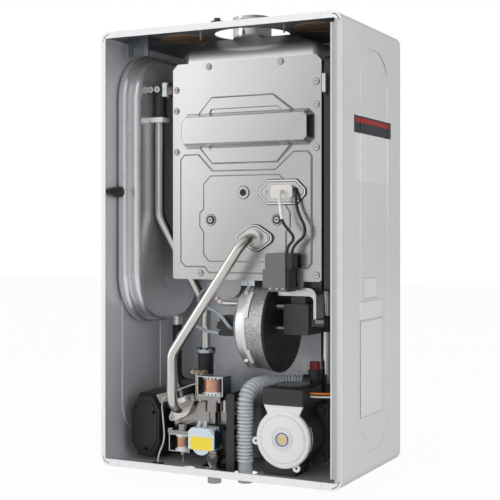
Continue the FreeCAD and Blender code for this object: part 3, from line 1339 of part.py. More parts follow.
def gas_bracket():
    z1 = BRACKET_TOP_Z
    y0, y1 = BRACKET_FRONT_Y, BRACKET_BACK_Y
    x0, x1 = BRACKET_X, BRACKET_X + BRACKET_T
    web = box(x0, y0, FLOOR, x1, y1, z1)
    flange = box(x0, y0, FLOOR, x0 + BRACKET_FLANGE_W, y0 + BRACKET_T, z1)
    foot = box(x0 - BRACKET_FLANGE_W, y0, FLOOR, x1, y1, FLOOR + BRACKET_T)
    windows = [
        box(x0 - OVERRUN, y0 + ya * (y1 - y0), za * z1, x1 + OVERRUN, y0 + yb * (y1 - y0), zb * z1)
        for ya, yb, za, zb in BRACKET_HOLE_SHARES]
    arm_z = (VALVE_LOW_Z + VALVE_TOP_Z) / 2
    arm = box(VALVE_RIGHT_X, VALVE_FRONT_Y, arm_z, x0, VALVE_BACK_Y, arm_z + BRACKET_ARM_H)
    save("gas_bracket", join(web.cut(windows), flange, foot, arm))


def top_right_edge(block):
    """The edge along Y at a block's upper right corner."""
    bounds = block.BoundBox
    return [
        e for e in block.Edges
        if e.CenterOfMass.x > bounds.XMax - TOUCH and e.CenterOfMass.z > bounds.ZMax - TOUCH
        and abs(e.tangentAt(e.FirstParameter).y) > 0.5]


def fan():
    def turned(points):
        corners = [V(x, FAN_Y, FAN_Z + r) for x, r in points]
        wire = Part.makePolygon(corners + corners[:1])
        return Part.Face(wire).revolve(V(0, FAN_Y, FAN_Z), V(1, 0, 0), 360)

    left, rim, wall = FAN_LEFT_X, FAN_RIM_X, FAN_WALL
    slope = (FAN_RIM_R - FAN_LEFT_R) / (rim - left - FAN_CROWN)
    band_r = FAN_LEFT_R + slope * (FAN_BAND_X - left - FAN_CROWN) + FAN_BAND_RISE
    shell = turned((
        (left, 0), (left, FAN_LEFT_R - FAN_CROWN), (left + FAN_CROWN, FAN_LEFT_R),
        (FAN_BAND_X, FAN_LEFT_R + slope * (FAN_BAND_X - left - FAN_CROWN)), (FAN_BAND_X, band_r),
        (FAN_BAND_X + FAN_BAND_W, band_r),
        (FAN_BAND_X + FAN_BAND_W, FAN_LEFT_R + slope * (FAN_BAND_X + FAN_BAND_W - left - FAN_CROWN)),
        (rim, FAN_RIM_R), (rim, 0)))
    cavity = turned((
        (left + wall, 0), (left + wall, FAN_LEFT_R - FAN_CROWN), (left + FAN_CROWN, FAN_LEFT_R - wall),
        (rim + OVERRUN, FAN_RIM_R - wall), (rim + OVERRUN, 0)))
    duct_x = (FAN_BAND_X + FAN_BAND_W + rim) / 2
    duct = rod_z(FAN_DUCT_R, FAN_Z + IMPELLER_R, HX_BOTTOM_Z - SEAT, duct_x, FAN_Y)
    duct_bore = rod_z(FAN_DUCT_R - wall, FAN_Z + IMPELLER_R, HX_BOTTOM_Z + OVERRUN, duct_x, FAN_Y)
    clips = []
    for angle in FAN_CLIP_DEG:
        clip = box(
            FAN_BAND_X - FAN_CLIP_W, FAN_Y - FAN_CLIP_L / 2, FAN_Z + band_r - FAN_BAND_RISE,
            FAN_BAND_X, FAN_Y + FAN_CLIP_L / 2, FAN_Z + band_r + FAN_CLIP_T)
        clip.rotate(V(0, FAN_Y, FAN_Z), V(1, 0, 0), angle - 90)
        clips.append(clip)
    port = rod_x(SAMPLE_R, left - SAMPLE_L, left + wall, SAMPLE_Y, SAMPLE_Z)
    scroll = join(shell, duct, port, *clips).cut([cavity, duct_bore])
    save("fan_scroll", scroll)

    cover_x = rim + FAN_COVER_T
    cover = turned((
        (rim, 0), (rim, FAN_RIM_R), (rim + FAN_COVER_T / 2, FAN_RIM_R),
        (cover_x, FAN_RIM_R - FAN_COVER_T / 2), (cover_x, 0)))
    save("fan_cover", cover.cut(rod_x(SHAFT_R + SHAFT_FIT, rim - OVERRUN, cover_x + OVERRUN, FAN_Y, FAN_Z)))

    disc_x = IMPELLER_LEFT_X
    disc = rod_x(IMPELLER_R, disc_x, disc_x + IMPELLER_DISC_T, FAN_Y, FAN_Z)
    hub = rod_x(IMPELLER_HUB_R, disc_x, disc_x + IMPELLER_DEPTH / 2, FAN_Y, FAN_Z)
    blades = []
    for index in range(BLADE_COUNT):
        blade = box(
            disc_x, FAN_Y - BLADE_T / 2, FAN_Z + BLADE_IN_R,
            disc_x + IMPELLER_DEPTH, FAN_Y + BLADE_T / 2, FAN_Z + IMPELLER_R - BLADE_T / 2)
        blade.rotate(V(0, FAN_Y, FAN_Z + BLADE_IN_R), V(1, 0, 0), BLADE_SWEEP_DEG)
        blade.rotate(V(0, FAN_Y, FAN_Z), V(1, 0, 0), index * 360 / BLADE_COUNT)
        blades.append(blade)
    shaft = rod_x(SHAFT_R, disc_x, MOTOR_X + MOTOR_W - ROTOR_GAP - FRAME_T, FAN_Y, FAN_Z)
    rotor = rod_x(
        ROTOR_R, MOTOR_X + FRAME_T + ROTOR_GAP, MOTOR_X + MOTOR_W - ROTOR_GAP - FRAME_T, FAN_Y, FAN_Z)
    save("fan_impeller", join(disc, hub, shaft, rotor, *blades))

    z0 = FAN_Z - MOTOR_DROP
    y0, y1 = FAN_Y - MOTOR_D / 2, FAN_Y + MOTOR_D / 2
    stack = box(MOTOR_X, y0, z0, MOTOR_X + MOTOR_W, y1, z0 + MOTOR_H)
    coil = box(
        MOTOR_X + MOTOR_COIL_INSET, y0 + MOTOR_COIL_INSET, z0 + MOTOR_H,
        MOTOR_X + MOTOR_W - MOTOR_COIL_INSET, y1 - MOTOR_COIL_INSET, z0 + MOTOR_H + MOTOR_COIL_H / 2)
    posts = [
        rod_x(MOTOR_POST_R, cover_x, MOTOR_X, y, z)
        for y in (y0 + MOTOR_POST_INSET, y1 - MOTOR_POST_INSET)
        for z in (z0 + MOTOR_POST_INSET, z0 + MOTOR_H - MOTOR_POST_INSET)]
    chamber = rod_x(ROTOR_R + ROTOR_GAP, MOTOR_X + FRAME_T, MOTOR_X + MOTOR_W - FRAME_T, FAN_Y, FAN_Z)
    shaft_bore = rod_x(SHAFT_R + SHAFT_FIT, MOTOR_X - OVERRUN, MOTOR_X + MOTOR_W / 2, FAN_Y, FAN_Z)
    save("fan_motor", join(stack, coil, *posts).cut([chamber, shaft_bore]))

    # the bracket is a bar with a rounded corner and a leg that goes down on the right
    xa, xb, t = FAN_ARM_LEFT_X, FAN_ARM_RIGHT_X, FAN_ARM_T
    bar = box(xa, FAN_ARM_FRONT_Y, FAN_ARM_FOOT_Z, xb, FAN_ARM_BACK_Y, FAN_ARM_TOP_Z)
    bar = bar.makeFillet(FAN_ARM_R, top_right_edge(bar))
    hollow = box(
        xa - OVERRUN, FAN_ARM_FRONT_Y - OVERRUN, FAN_ARM_FOOT_Z - OVERRUN,
        xb - t, FAN_ARM_BACK_Y + OVERRUN, FAN_ARM_TOP_Z - FAN_ARM_BAR_H)
    hollow = hollow.makeFillet(FAN_ARM_IN_R, top_right_edge(hollow))
    tab = box(xa, FAN_ARM_BACK_Y - t, FAN_ARM_TOP_Z - t, xb - FAN_ARM_R, FAN_ARM_BACK_Y, HX_BOTTOM_Z - SEAT)
    save("fan_bracket", join(bar.cut(hollow), tab))


def pressure_switch():
    x1 = FAN_LEFT_X - SEAT
    x0 = x1 - SWITCH_W
    front = SWITCH_Y - SWITCH_D / 2
    body = box(x0, front, SWITCH_Z - SWITCH_H / 2, x1, SWITCH_Y + SWITCH_D / 2, SWITCH_Z + SWITCH_H / 2)
    disc_x = (x0 + x1) / 2
    disc = rod_x(SWITCH_D / 2 + SWITCH_ARM_T, disc_x, disc_x + SWITCH_ARM_T, SWITCH_Y, SWITCH_Z)
    front_nipple = rod_y(SWITCH_NIPPLE_R, front - SWITCH_NIPPLE_H, front, SWITCH_FRONT_X, SWITCH_FRONT_Z)
    side_nipple = rod_x(SWITCH_NIPPLE_R, x0 - SWITCH_NIPPLE_H, x0, SWITCH_SIDE_Y, SWITCH_SIDE_Z)
    sleeve = rod_x(SWITCH_SLEEVE_R, x0 - SWITCH_SLEEVE_L, x0, SWITCH_SIDE_Y, SWITCH_SIDE_Z)
    save("pressure_switch", join(body, disc, front_nipple, side_nipple, sleeve))

    # the upper tube goes from the switch's front to the sump, the lower one to the gas valve
    sump_end = (SUMP_LEFT_X - SEAT,) + SUMP_TUBE_ROUTE[-1][1:]
    upper = bent_route(
        ((SWITCH_FRONT_X, front - SEAT, SWITCH_FRONT_Z),) + SUMP_TUBE_ROUTE + (sump_end,), SUMP_TUBE_BEND)
    side_x = x0 - SWITCH_SLEEVE_L
    valve_end = VALVE_TUBE_ROUTE[-1][:2] + (VALVE_TOP_Z + SEAT,)
    lower = bent_route(
        ((side_x - SEAT, SWITCH_SIDE_Y, SWITCH_SIDE_Z),) + VALVE_TUBE_ROUTE + (valve_end,), VALVE_TUBE_BEND)
    bore = rod_y(
        SWITCH_NIPPLE_R + TUBE_FIT, front - SWITCH_NIPPLE_H - SEAT, front, SWITCH_FRONT_X, SWITCH_FRONT_Z)
    side_bore = rod_x(
        SWITCH_NIPPLE_R + TUBE_FIT, x0 - SWITCH_NIPPLE_H - SEAT, x0, SWITCH_SIDE_Y, SWITCH_SIDE_Z)
    save("silicone_tubes", tube(upper, TUBE_R).cut(bore), tube(lower, TUBE_R).cut(side_bore))


def expansion_tank():
    x0 = TANK_WALL_X
    x1 = x0 + TANK_RIM_T
    x2 = x1 + TANK_GROOVE_T
    x3 = x2 + TANK_DOME_T
    y0, y1, z0, z1 = TANK_FRONT_Y, BACK_IN, TANK_BOTTOM_Z, TANK_TOP_Z

    def slab(inset, start, end):
        return rounded_x(
            y0 + inset, z0 + inset, y1 - inset, z1 - inset, TANK_CORNER_R - inset, start, end)

    def softened(slab_shape, x_faces, radius):
        edges = [
            e for e in slab_shape.Edges
            if any(abs(v.Point.x - x) < SHEET for x in x_faces for v in e.Vertexes[:1])
            and abs(e.tangentAt(e.FirstParameter).x) < 0.5]
        return slab_shape.makeFillet(radius, edges)

    rim = softened(slab(0, x0, x1), (x0, x1), TANK_RIM_EDGE)
    groove = slab(TANK_GROOVE_IN, x1 - SHEET, x2 + SHEET)
    dome = softened(slab(TANK_DOME_IN, x2, x3), (x2, x3), TANK_DOME_EDGE)
    port = rod_z(
        TANK_PORT_R, TANK_BOTTOM_Z - TANK_PORT_H, TANK_BOTTOM_Z + OVERRUN, TANK_PORT_X, TANK_PORT_Y)
    save("expansion_tank", join(rim, groove, dome, port))

    top = CASE_H - SHEET
    plate_x1 = BRACKET_PLATE_X + BRACKET_PLATE_W
    middle = (BRACKET_PLATE_X + plate_x1) / 2
    plate = box(
        BRACKET_PLATE_X, BRACKET_PLATE_Y, BRACKET_PLATE_Z,
        plate_x1, BRACKET_PLATE_Y + BRACKET_PLATE_T, top)
    notch = box(
        middle - BRACKET_NOTCH_W / 2, BRACKET_PLATE_Y - OVERRUN, BRACKET_PLATE_Z - OVERRUN,
        middle + BRACKET_NOTCH_W / 2, BRACKET_PLATE_Y + OVERRUN, BRACKET_PLATE_Z + BRACKET_NOTCH_H)
    ledge = box(
        BRACKET_PLATE_X, BRACKET_PLATE_Y, top - BRACKET_PLATE_T, plate_x1,
        BRACKET_PLATE_Y + BRACKET_PLATE_W, top)
    save("tank_bracket", join(plate.cut(notch), ledge))

    wall = LEFT + SHEET + SEAT
    clip_y = TANK_FRONT_Y - SEAT
    foot = rod_y(CLIP_R, clip_y - CLIP_FOOT, clip_y, wall + CLIP_R, CLIP_Z)
    tip = V(wall + CLIP_R, clip_y - CLIP_L, CLIP_Z)
    cone = Part.makeCone(CLIP_TIP_R, CLIP_R, CLIP_L - CLIP_FOOT, tip, V(0, 1, 0))
    save("wall_clip", join(foot, cone))

    hose_route = bent_route((
        (TANK_PORT_X, TANK_PORT_Y, TANK_BOTTOM_Z - TANK_PORT_H),
        (TANK_PORT_X, TANK_PORT_Y, TANK_HOSE_Z),
        (BLOCK_LEFT_X, TANK_PORT_Y, TANK_HOSE_Z)), TANK_HOSE_BEND)
    save("tank_hose", tube(hose_route, TANK_HOSE_R))


def flow_pipes():
    # plastic elbow at the top left with its two probes, and the copper end of the heat exchanger
    x, y = FLOW_X, FLOW_Y
    elbow_route = bent_route((
        (x, y, FLOW_TOP_Z), (x, y, ELBOW_Z), (HX_LEFT_X - COPPER_TAIL, y, ELBOW_Z)), ELBOW_BEND)
    elbow = tube(elbow_route, ELBOW_R)
    collar = rod_z(ELBOW_COLLAR_R, FLOW_TOP_Z, FLOW_TOP_Z + ELBOW_COLLAR_H, x, y)
    probes = [
        rod_y(ELBOW_PROBE_R, y - ELBOW_R - ELBOW_PROBE_L, y, x - ELBOW_PROBE_GAP / 2 + step, ELBOW_Z)
        for step in (0, ELBOW_PROBE_GAP)]
    save("flow_elbow", join(elbow, collar, *probes))

    def clip(z, radius, half_w):
        plate = box(
            x - half_w, y - ELBOW_CLIP_R, z, x + half_w, y + ELBOW_CLIP_R, z + ELBOW_CLIP_T)
        return plate.cut(rod_z(radius, z - OVERRUN, z + ELBOW_CLIP_T + OVERRUN, x, y))

    low_clip = clip(FLOW_TOP_Z - ELBOW_CLIP_T, FLOW_R + SEAT, ELBOW_CLIP_R)
    side_x = HX_LEFT_X - COPPER_TAIL - ELBOW_CLIP_T - SEAT
    side_clip = box(
        side_x, y - ELBOW_CLIP_R, ELBOW_Z - ELBOW_CLIP_R,
        side_x + ELBOW_CLIP_T, y + ELBOW_CLIP_R / 2, ELBOW_Z + ELBOW_CLIP_R)
    side_hole = rod_x(ELBOW_R + SEAT, side_x - OVERRUN, side_x + ELBOW_CLIP_T + OVERRUN, y, ELBOW_Z)
    tilt = math.radians(SAMPLE_HEAD_DEG)
    away = V(-math.cos(tilt), 0, math.sin(tilt))
    tube_end = V(FAN_LEFT_X - SAMPLE_L - SEAT - SAMPLE_HEAD_R * math.sin(tilt), SAMPLE_Y, SAMPLE_Z)
    tag = Part.makeCylinder(SAMPLE_HEAD_R, SAMPLE_HEAD_H, tube_end, away)
    save("white_clips", low_clip, side_clip.cut(side_hole), tag)

    pipe_route = bent_route((
        (x, y, FLOW_TOP_Z), (x, y, FLOW_KNEE_Z), (FLOW_LOW_X, FLOW_LOW_Y, FLOW_LOW_KNEE_Z),
        (FLOW_LOW_X, FLOW_LOW_Y, FLOW_END_Z)), FLOW_BEND)
    save("flow_pipe", tube(pipe_route, FLOW_R))

    pipe = rod_z(RETURN_R, RETURN_LOW_Z, HX_BOTTOM_Z, RETURN_X, RETURN_Y)
    corners = [
        V(RETURN_X + RETURN_NUT_R * math.cos(side * math.pi / 3),
          RETURN_Y + RETURN_NUT_R * math.sin(side * math.pi / 3), RETURN_LOW_Z)
        for side in range(6)]
    nut = Part.Face(Part.makePolygon(corners + corners[:1])).extrude(V(0, 0, RETURN_NUT_H))
    save("return_pipe", pipe, nut.cut(pipe))


def diverter():
    body = box(BLOCK_LEFT_X, BLOCK_FRONT_Y, BLOCK_LOW_Z, BLOCK_RIGHT_X, BLOCK_BACK_Y, FITTING_LOW_Z)
    body = body.makeFillet(BLOCK_EDGE_R, [e for e in body.Edges if e.tangentAt(e.FirstParameter).z])
    fitting = rod_z(FITTING_R, FITTING_LOW_Z, FLOW_END_Z, FLOW_LOW_X, FLOW_LOW_Y)
    rim = rod_z(FITTING_RIM_R, FLOW_END_Z - FITTING_RIM_H, FLOW_END_Z, FLOW_LOW_X, FLOW_LOW_Y)
    spigot = box(
        BLOCK_LEFT_X, TANK_PORT_Y - TANK_HOSE_R, FITTING_LOW_Z - BLOCK_EDGE_R,
        BLOCK_LEFT_X + BLOCK_SPIGOT_W, TANK_PORT_Y + TANK_HOSE_R, TANK_HOSE_Z + TANK_HOSE_R)
    chamber_x0 = BLOCK_LEFT_X + BLOCK_EDGE_R
    chamber_x1 = chamber_x0 + SPINDLE_L + SPINDLE_TRAVEL + 2 * SPINDLE_BORE_GAP
    spindle_z = (BLOCK_LOW_Z + FITTING_LOW_Z) / 2
    spindle_y = (BLOCK_FRONT_Y + BLOCK_BACK_Y) / 2
    chamber = rod_x(SPINDLE_HEAD_R + SPINDLE_FIT, chamber_x0, chamber_x1, spindle_y, spindle_z)
    save("diverter_body", join(body, fitting, rim, spigot).cut(chamber))

    start = chamber_x0 + SPINDLE_BORE_GAP
    save("diverter_spindle", join(
        rod_x(SPINDLE_R, start, start + SPINDLE_L, spindle_y, spindle_z),
        rod_x(SPINDLE_HEAD_R, start, start + SPINDLE_HEAD_H, spindle_y, spindle_z),
        rod_x(SPINDLE_HEAD_R, start + SPINDLE_L - SPINDLE_HEAD_H, start + SPINDLE_L, spindle_y, spindle_z)))

    # the drive's front is an octagon with a raised shield and three screw recesses
    w, h, cw, ch = DRIVE_W / 2, DRIVE_H / 2, DRIVE_CUT_W, DRIVE_CUT_H

    def octagon(inset):
        a, b = w - inset, h - inset
        return [(DRIVE_X + px, DRIVE_Z + pz) for px, pz in (
            (-a, ch - b), (cw - a, -b), (a - cw, -b), (a, ch - b),
            (a, b - ch), (a - cw, b), (cw - a, b), (-a, b - ch))]

    shoulder_y = DRIVE_FRONT_Y + DRIVE_SHOULDER
    housing = outline_y(octagon(0), shoulder_y, DRIVE_BACK_Y)
    nose = drafted_y(octagon(0), shoulder_y, DRIVE_SHOULDER, DRIVE_SHOULDER_IN)
    s = DRIVE_SHIELD_IN_SHARE
    shield = drafted_y(
        [(DRIVE_X + s * (px - DRIVE_X), DRIVE_Z + s * (pz - DRIVE_Z)) for px, pz in octagon(0)],
        DRIVE_FRONT_Y, DRIVE_SHIELD_RISE, DRIVE_SHIELD_RISE)
    recesses = [
        rod_y(DRIVE_RECESS_R, DRIVE_FRONT_Y - OVERRUN, DRIVE_FRONT_Y + DRIVE_RECESS_DEPTH,
              DRIVE_X + sx * DRIVE_W, DRIVE_Z + sz * DRIVE_H)
        for sx, sz in DRIVE_RECESS_SHARES]
    save("diverter_drive", join(housing, nose, shield).cut(recesses))


def pump():
    x, z = PUMP_X, PUMP_Z
    face_back = PUMP_FRONT_Y + PUMP_FACE_T
    motor = rod_y(PUMP_BODY_R, face_back, PUMP_BODY_END_Y, x, z)
    flange_y = PUMP_BODY_END_Y - PUMP_FLANGE_T
    half = PUMP_FLANGE_HALF
    flange = rounded_y(x - half, z - half, x + half, z + half, PUMP_FLANGE_R, flange_y, PUMP_BODY_END_Y)
    bolts = [
        rod_y(PUMP_BOLT_R, flange_y - PUMP_BOLT_H, flange_y, x + sx * PUMP_BOLT_HALF, z + sz * PUMP_BOLT_HALF)
        for sx in (-1, 1) for sz in (-1, 1)]
    pedestal = box(
        x - PUMP_NECK_W / 2, face_back, z, x + PUMP_NECK_W / 2, flange_y, PUMP_NECK_Z)
    foot = box(
        PUMP_FOOT_X - PUMP_FOOT_W / 2, PUMP_FOOT_FRONT_Y, FLOOR,
        PUMP_FOOT_X + PUMP_FOOT_W / 2, PUMP_FOOT_BACK_Y, z)
    volute = rod_y(VOLUTE_R, PUMP_BODY_END_Y, VOLUTE_END_Y, x, z)
    volute = volute.makeChamfer(
        VOLUTE_EDGE, [e for e in volute.Edges if e.CenterOfMass.y > VOLUTE_END_Y - TOUCH])
    boss = rod_z(HEAT_R + PUMP_WALL, STUB_TOP_Z, z, HEAT_RETURN_X, STUB_Y)
    boss_arm = box(
        HEAT_RETURN_X - HEAT_R, VOLUTE_END_Y - OVERRUN, STUB_TOP_Z, HEAT_RETURN_X + HEAT_R, STUB_Y, z)
    riser = rod_z(RETURN_R + PUMP_WALL, z, RETURN_LOW_Z, RETURN_X, RETURN_Y)
    branch = rod_z(RELIEF_R, z + VOLUTE_R / 2, RELIEF_Z - RELIEF_BRANCH_W, RELIEF_X, RELIEF_Y)
    rotor_y0 = face_back + PUMP_WALL
    can = rod_y(ROTOR_CAN_R + ROTOR_CLEAR, rotor_y0, rotor_y0 + ROTOR_CAN_L + 2 * ROTOR_CLEAR, x, z)
    shaft_end = PUMP_BODY_END_Y + 2 * PUMP_WALL
    shaft_bore = rod_y(SHAFT_R + SHAFT_FIT, rotor_y0, shaft_end, x, z)
    wheel_y0 = PUMP_BODY_END_Y + PUMP_WALL
    wheel_room = rod_y(
        PUMP_IMPELLER_R + ROTOR_CLEAR, wheel_y0, wheel_y0 + PUMP_IMPELLER_T + 2 * ROTOR_CLEAR, x, z)
    body = join(motor, flange, *bolts, pedestal, foot, volute, boss, boss_arm, riser, branch)
    save("pump_housing", body.cut([can, shaft_bore, wheel_room]))

    wheel_start = wheel_y0 + ROTOR_CLEAR
    save("pump_rotor", join(
        rod_y(ROTOR_CAN_R, rotor_y0 + ROTOR_CLEAR, rotor_y0 + ROTOR_CLEAR + ROTOR_CAN_L, x, z),
        rod_y(SHAFT_R, rotor_y0 + ROTOR_CLEAR, wheel_start + PUMP_IMPELLER_T, x, z),
        rod_y(PUMP_IMPELLER_R, wheel_start, wheel_start + PUMP_IMPELLER_T, x, z)))

    # white face with its neck up to the terminal box
    disc = rod_y(PUMP_FACE_R, PUMP_FRONT_Y, face_back, x, z)
    disc = disc.makeChamfer(
        PUMP_FACE_EDGE, [e for e in disc.Edges if e.CenterOfMass.y < PUMP_FRONT_Y + TOUCH])
    top, flare = PUMP_NECK_TOP_W / 2, PUMP_NECK_W / 2
    neck = outline_y(
        ((x - flare, z), (x + flare, z), (x + flare, PUMP_NECK_Z - PUMP_NECK_FLARE_H),
         (x + top, PUMP_NECK_Z), (x - top, PUMP_NECK_Z), (x - flare, PUMP_NECK_Z - PUMP_NECK_FLARE_H)),
        PUMP_FRONT_Y + PUMP_FACE_EDGE, face_back)
    ring = rod_y(PUMP_FACE_RING_R, PUMP_FRONT_Y - PUMP_FACE_RING_T, PUMP_FRONT_Y, x, z)
    lugs = []
    for angle in PUMP_LUG_DEG:
        lug_x = x + (PUMP_FACE_R + PUMP_LUG_R / 2) * math.cos(math.radians(angle))
        lug_z = z + (PUMP_FACE_R + PUMP_LUG_R / 2) * math.sin(math.radians(angle))
        lug = rod_y(PUMP_LUG_R, face_back - PUMP_LUG_T, face_back, lug_x, lug_z)
        lugs.append(lug.cut(rod_y(PUMP_LUG_HOLE_R, face_back - OVERRUN, face_back + OVERRUN, lug_x, lug_z)))
    vent_ring_y = PUMP_FRONT_Y - PUMP_FACE_RING_T
    well = rod_y(VENT_R + VENT_FIT, vent_ring_y - OVERRUN, vent_ring_y + VENT_DEPTH, x, z)
    face = join(disc, neck, ring, *lugs)
    collar = rod_y(VENT_RING_R, vent_ring_y - VENT_RING_T, vent_ring_y, x, z)
    save("pump_face", face.cut(well), collar.cut(
        rod_y(VENT_R + VENT_FIT, vent_ring_y - OVERRUN, vent_ring_y, x, z)))

    plug_front = vent_ring_y - VENT_STICK_OUT
    plug = rod_y(VENT_R, plug_front, vent_ring_y + VENT_DEPTH, x, z)
    slot = box(
        x - VENT_R, plug_front - OVERRUN, z - VENT_SLOT_W / 2, x + VENT_R, plug_front + VENT_SLOT_DEPTH,
        z + VENT_SLOT_W / 2)
    save("vent_plug", plug.cut(slot))

    # terminal box with the knurled dial on top
    x0, x1 = x - TERMINAL_W / 2, x + TERMINAL_W / 2
    top_z = PUMP_NECK_Z + TERMINAL_H
    terminal = box(x0, PUMP_FRONT_Y, PUMP_NECK_Z, x1, TERMINAL_BACK_Y, top_z)
    upright = [e for e in terminal.Edges if abs(e.tangentAt(e.FirstParameter).z) > 0.5]
    terminal = terminal.makeChamfer(TERMINAL_CHAMFER, upright)
    lid_z = top_z - TERMINAL_LID_H
    lid_line = box(
        x0 - OVERRUN, PUMP_FRONT_Y - OVERRUN, lid_z - TERMINAL_LINE_W / 2,
        x1 + OVERRUN, PUMP_FRONT_Y + TERMINAL_LINE_W, lid_z + TERMINAL_LINE_W / 2)
    socket = rod_z(DIAL_PIN_R + DIAL_FIT, top_z - DIAL_PIN_L - SEAT, top_z + OVERRUN, x, DIAL_Y)
    save("terminal_box", terminal.cut([lid_line, socket]))

    points = []
    for half_tooth in range(2 * DIAL_TOOTH_COUNT):
        radius = DIAL_R - (half_tooth % 2) * DIAL_TOOTH
        angle = half_tooth * math.pi / DIAL_TOOTH_COUNT
        points.append(V(x + radius * math.cos(angle), DIAL_Y + radius * math.sin(angle), top_z + SEAT))
    dial = Part.Face(Part.makePolygon(points + points[:1])).extrude(V(0, 0, DIAL_T))
    pin = rod_z(DIAL_PIN_R, top_z - DIAL_PIN_L, top_z + SEAT, x, DIAL_Y)
    save("speed_dial", join(dial, pin))


def hose_end():
    """Where the drain hose ends beside the relief valve, and its heading there."""
    knee = V(HOSE_KNEE_X, HOSE_KNEE_Y, RELIEF_Z)
    valve = V(RELIEF_X, RELIEF_Y, RELIEF_Z)
    heading = (valve - knee).normalize()
    return valve - heading * HOSE_END_GAP, heading


def relief_valve():
    x, y, z = RELIEF_X, RELIEF_Y, RELIEF_Z
    body = rod_z(RELIEF_R, z - RELIEF_BRANCH_W, z + RELIEF_H, x, y)
    end, heading = hose_end()
    outlet = Part.makeCylinder(
        HOSE_BORE_R - SEAT, HOSE_END_GAP + RELIEF_R, end - heading * RELIEF_R, heading)
    collar = Part.makeCylinder(
        HOSE_CREST_R, HOSE_END_GAP - RELIEF_R / 2, end + heading * SEAT, heading)
    stem_bore = rod_z(
        RELIEF_STEM_R + RELIEF_FIT, z + RELIEF_H - RELIEF_STEM_L - SEAT, z + RELIEF_H + OVERRUN, x, y)
    save("relief_valve", join(body, outlet, collar).cut(stem_bore))

    knob_z = z + RELIEF_H + SEAT
    knob = rod_z(RELIEF_KNOB_R, knob_z, knob_z + RELIEF_KNOB_H, x, y)
    ribs = []
    for index in range(RELIEF_RIB_COUNT):
        angle = 2 * math.pi * index / RELIEF_RIB_COUNT
        ribs.append(rod_z(
            RELIEF_RIB_R, knob_z, knob_z + RELIEF_KNOB_H,
            x + RELIEF_KNOB_R * math.cos(angle), y + RELIEF_KNOB_R * math.sin(angle)))
    stem = rod_z(RELIEF_STEM_R, z + RELIEF_H - RELIEF_STEM_L, knob_z, x, y)
    save("relief_knob", join(knob, stem, *ribs))


def ribbed_hose():
    route = bent_route((
        (HOSE_X, HOSE_Y, -HOSE_DROP), (HOSE_X, HOSE_Y, RELIEF_Z),
        (HOSE_KNEE_X, HOSE_KNEE_Y, RELIEF_Z), hose_end()[0]), HOSE_BEND, HOSE_KNEE_BEND)
    lengths = [edge.Length for edge in route.Edges]
    total = sum(lengths)

    def along(distance):
        """The place and heading at a distance from the lower end."""
        index = 0
        while index < len(lengths) - 1 and distance > lengths[index]:
            distance -= lengths[index]
            index += 1
        edge = route.Edges[index]
        parameter = edge.getParameterByLength(min(distance, lengths[index]))
        return edge.valueAt(parameter), edge.tangentAt(parameter)

    def ring(distance, radius, side):
        centre, heading = along(distance)
        side = (side - heading * side.dot(heading)).normalize()
        circle = Part.Wire(Part.makeCircle(radius))
        return placed(circle, centre, side, heading.cross(side)), side

    pitch = (total - HOSE_CUFF) / HOSE_RIB_COUNT
    side = V(1, 0, 0)
    start_ring, side = ring(0, HOSE_ROOT_R, side)
    rings = [start_ring]
    for rib in range(HOSE_RIB_COUNT):
        for share, radius in zip(
                HOSE_CREST_SHARES, (HOSE_ROOT_R, HOSE_CREST_R, HOSE_CREST_R, HOSE_ROOT_R)):
            next_ring, side = ring(HOSE_CUFF + (rib + share) * pitch, radius, side)
            rings.append(next_ring)
    end_ring, side = ring(total, HOSE_ROOT_R, side)
    rings.append(end_ring)
    skin = Part.makeLoft(rings, True, True)
    save("ribbed_hose", skin.cut(tube(route, HOSE_BORE_R)))


def plate_heat_exchanger():
    x0, y0, z0 = PHE_LEFT_X, PHE_FRONT_Y, PHE_Z
    block = rounded_y(x0, z0, x0 + PHE_W, z0 + PHE_H, PHE_R, y0, y0 + PHE_D)
    inner = rounded_y(
        x0 + PHE_GROOVE, z0 + PHE_GROOVE, x0 + PHE_W - PHE_GROOVE, z0 + PHE_H - PHE_GROOVE,
        PHE_R - PHE_GROOVE, y0, y0 + PHE_D)
    pitch = PHE_D / PHE_PLATE_COUNT
    rings = []
    for index in range(1, PHE_PLATE_COUNT):
        y = y0 + index * pitch
        band = box(
            x0 - OVERRUN, y, z0 - OVERRUN, x0 + PHE_W + OVERRUN, y + PHE_GROOVE_SHARE * pitch,
            z0 + PHE_H + OVERRUN)
        rings.append(band.cut(inner))
    save("plate_heat_exchanger", block.cut(rings))


def pipe_stubs():
    stubs = []
    for x, radius, top in (
            (HEAT_FLOW_X, HEAT_R, BLOCK_LOW_Z), (HOT_X, WATER_R, BLOCK_LOW_Z),
            (COLD_X, WATER_R, PHE_Z), (HEAT_RETURN_X, HEAT_R, STUB_TOP_Z)):
        stub = join(
            rod_z(radius, -STUB_DROP, top, x, STUB_Y),
            rod_z(radius + STUB_NUT, FLOOR, FLOOR + STUB_NUT, x, STUB_Y))
        bore = rod_z(radius - STUB_BORE, -STUB_DROP - OVERRUN, FLOOR, x, STUB_Y)
        stubs.append(stub.cut(bore))
    save("pipe_stubs", *stubs)


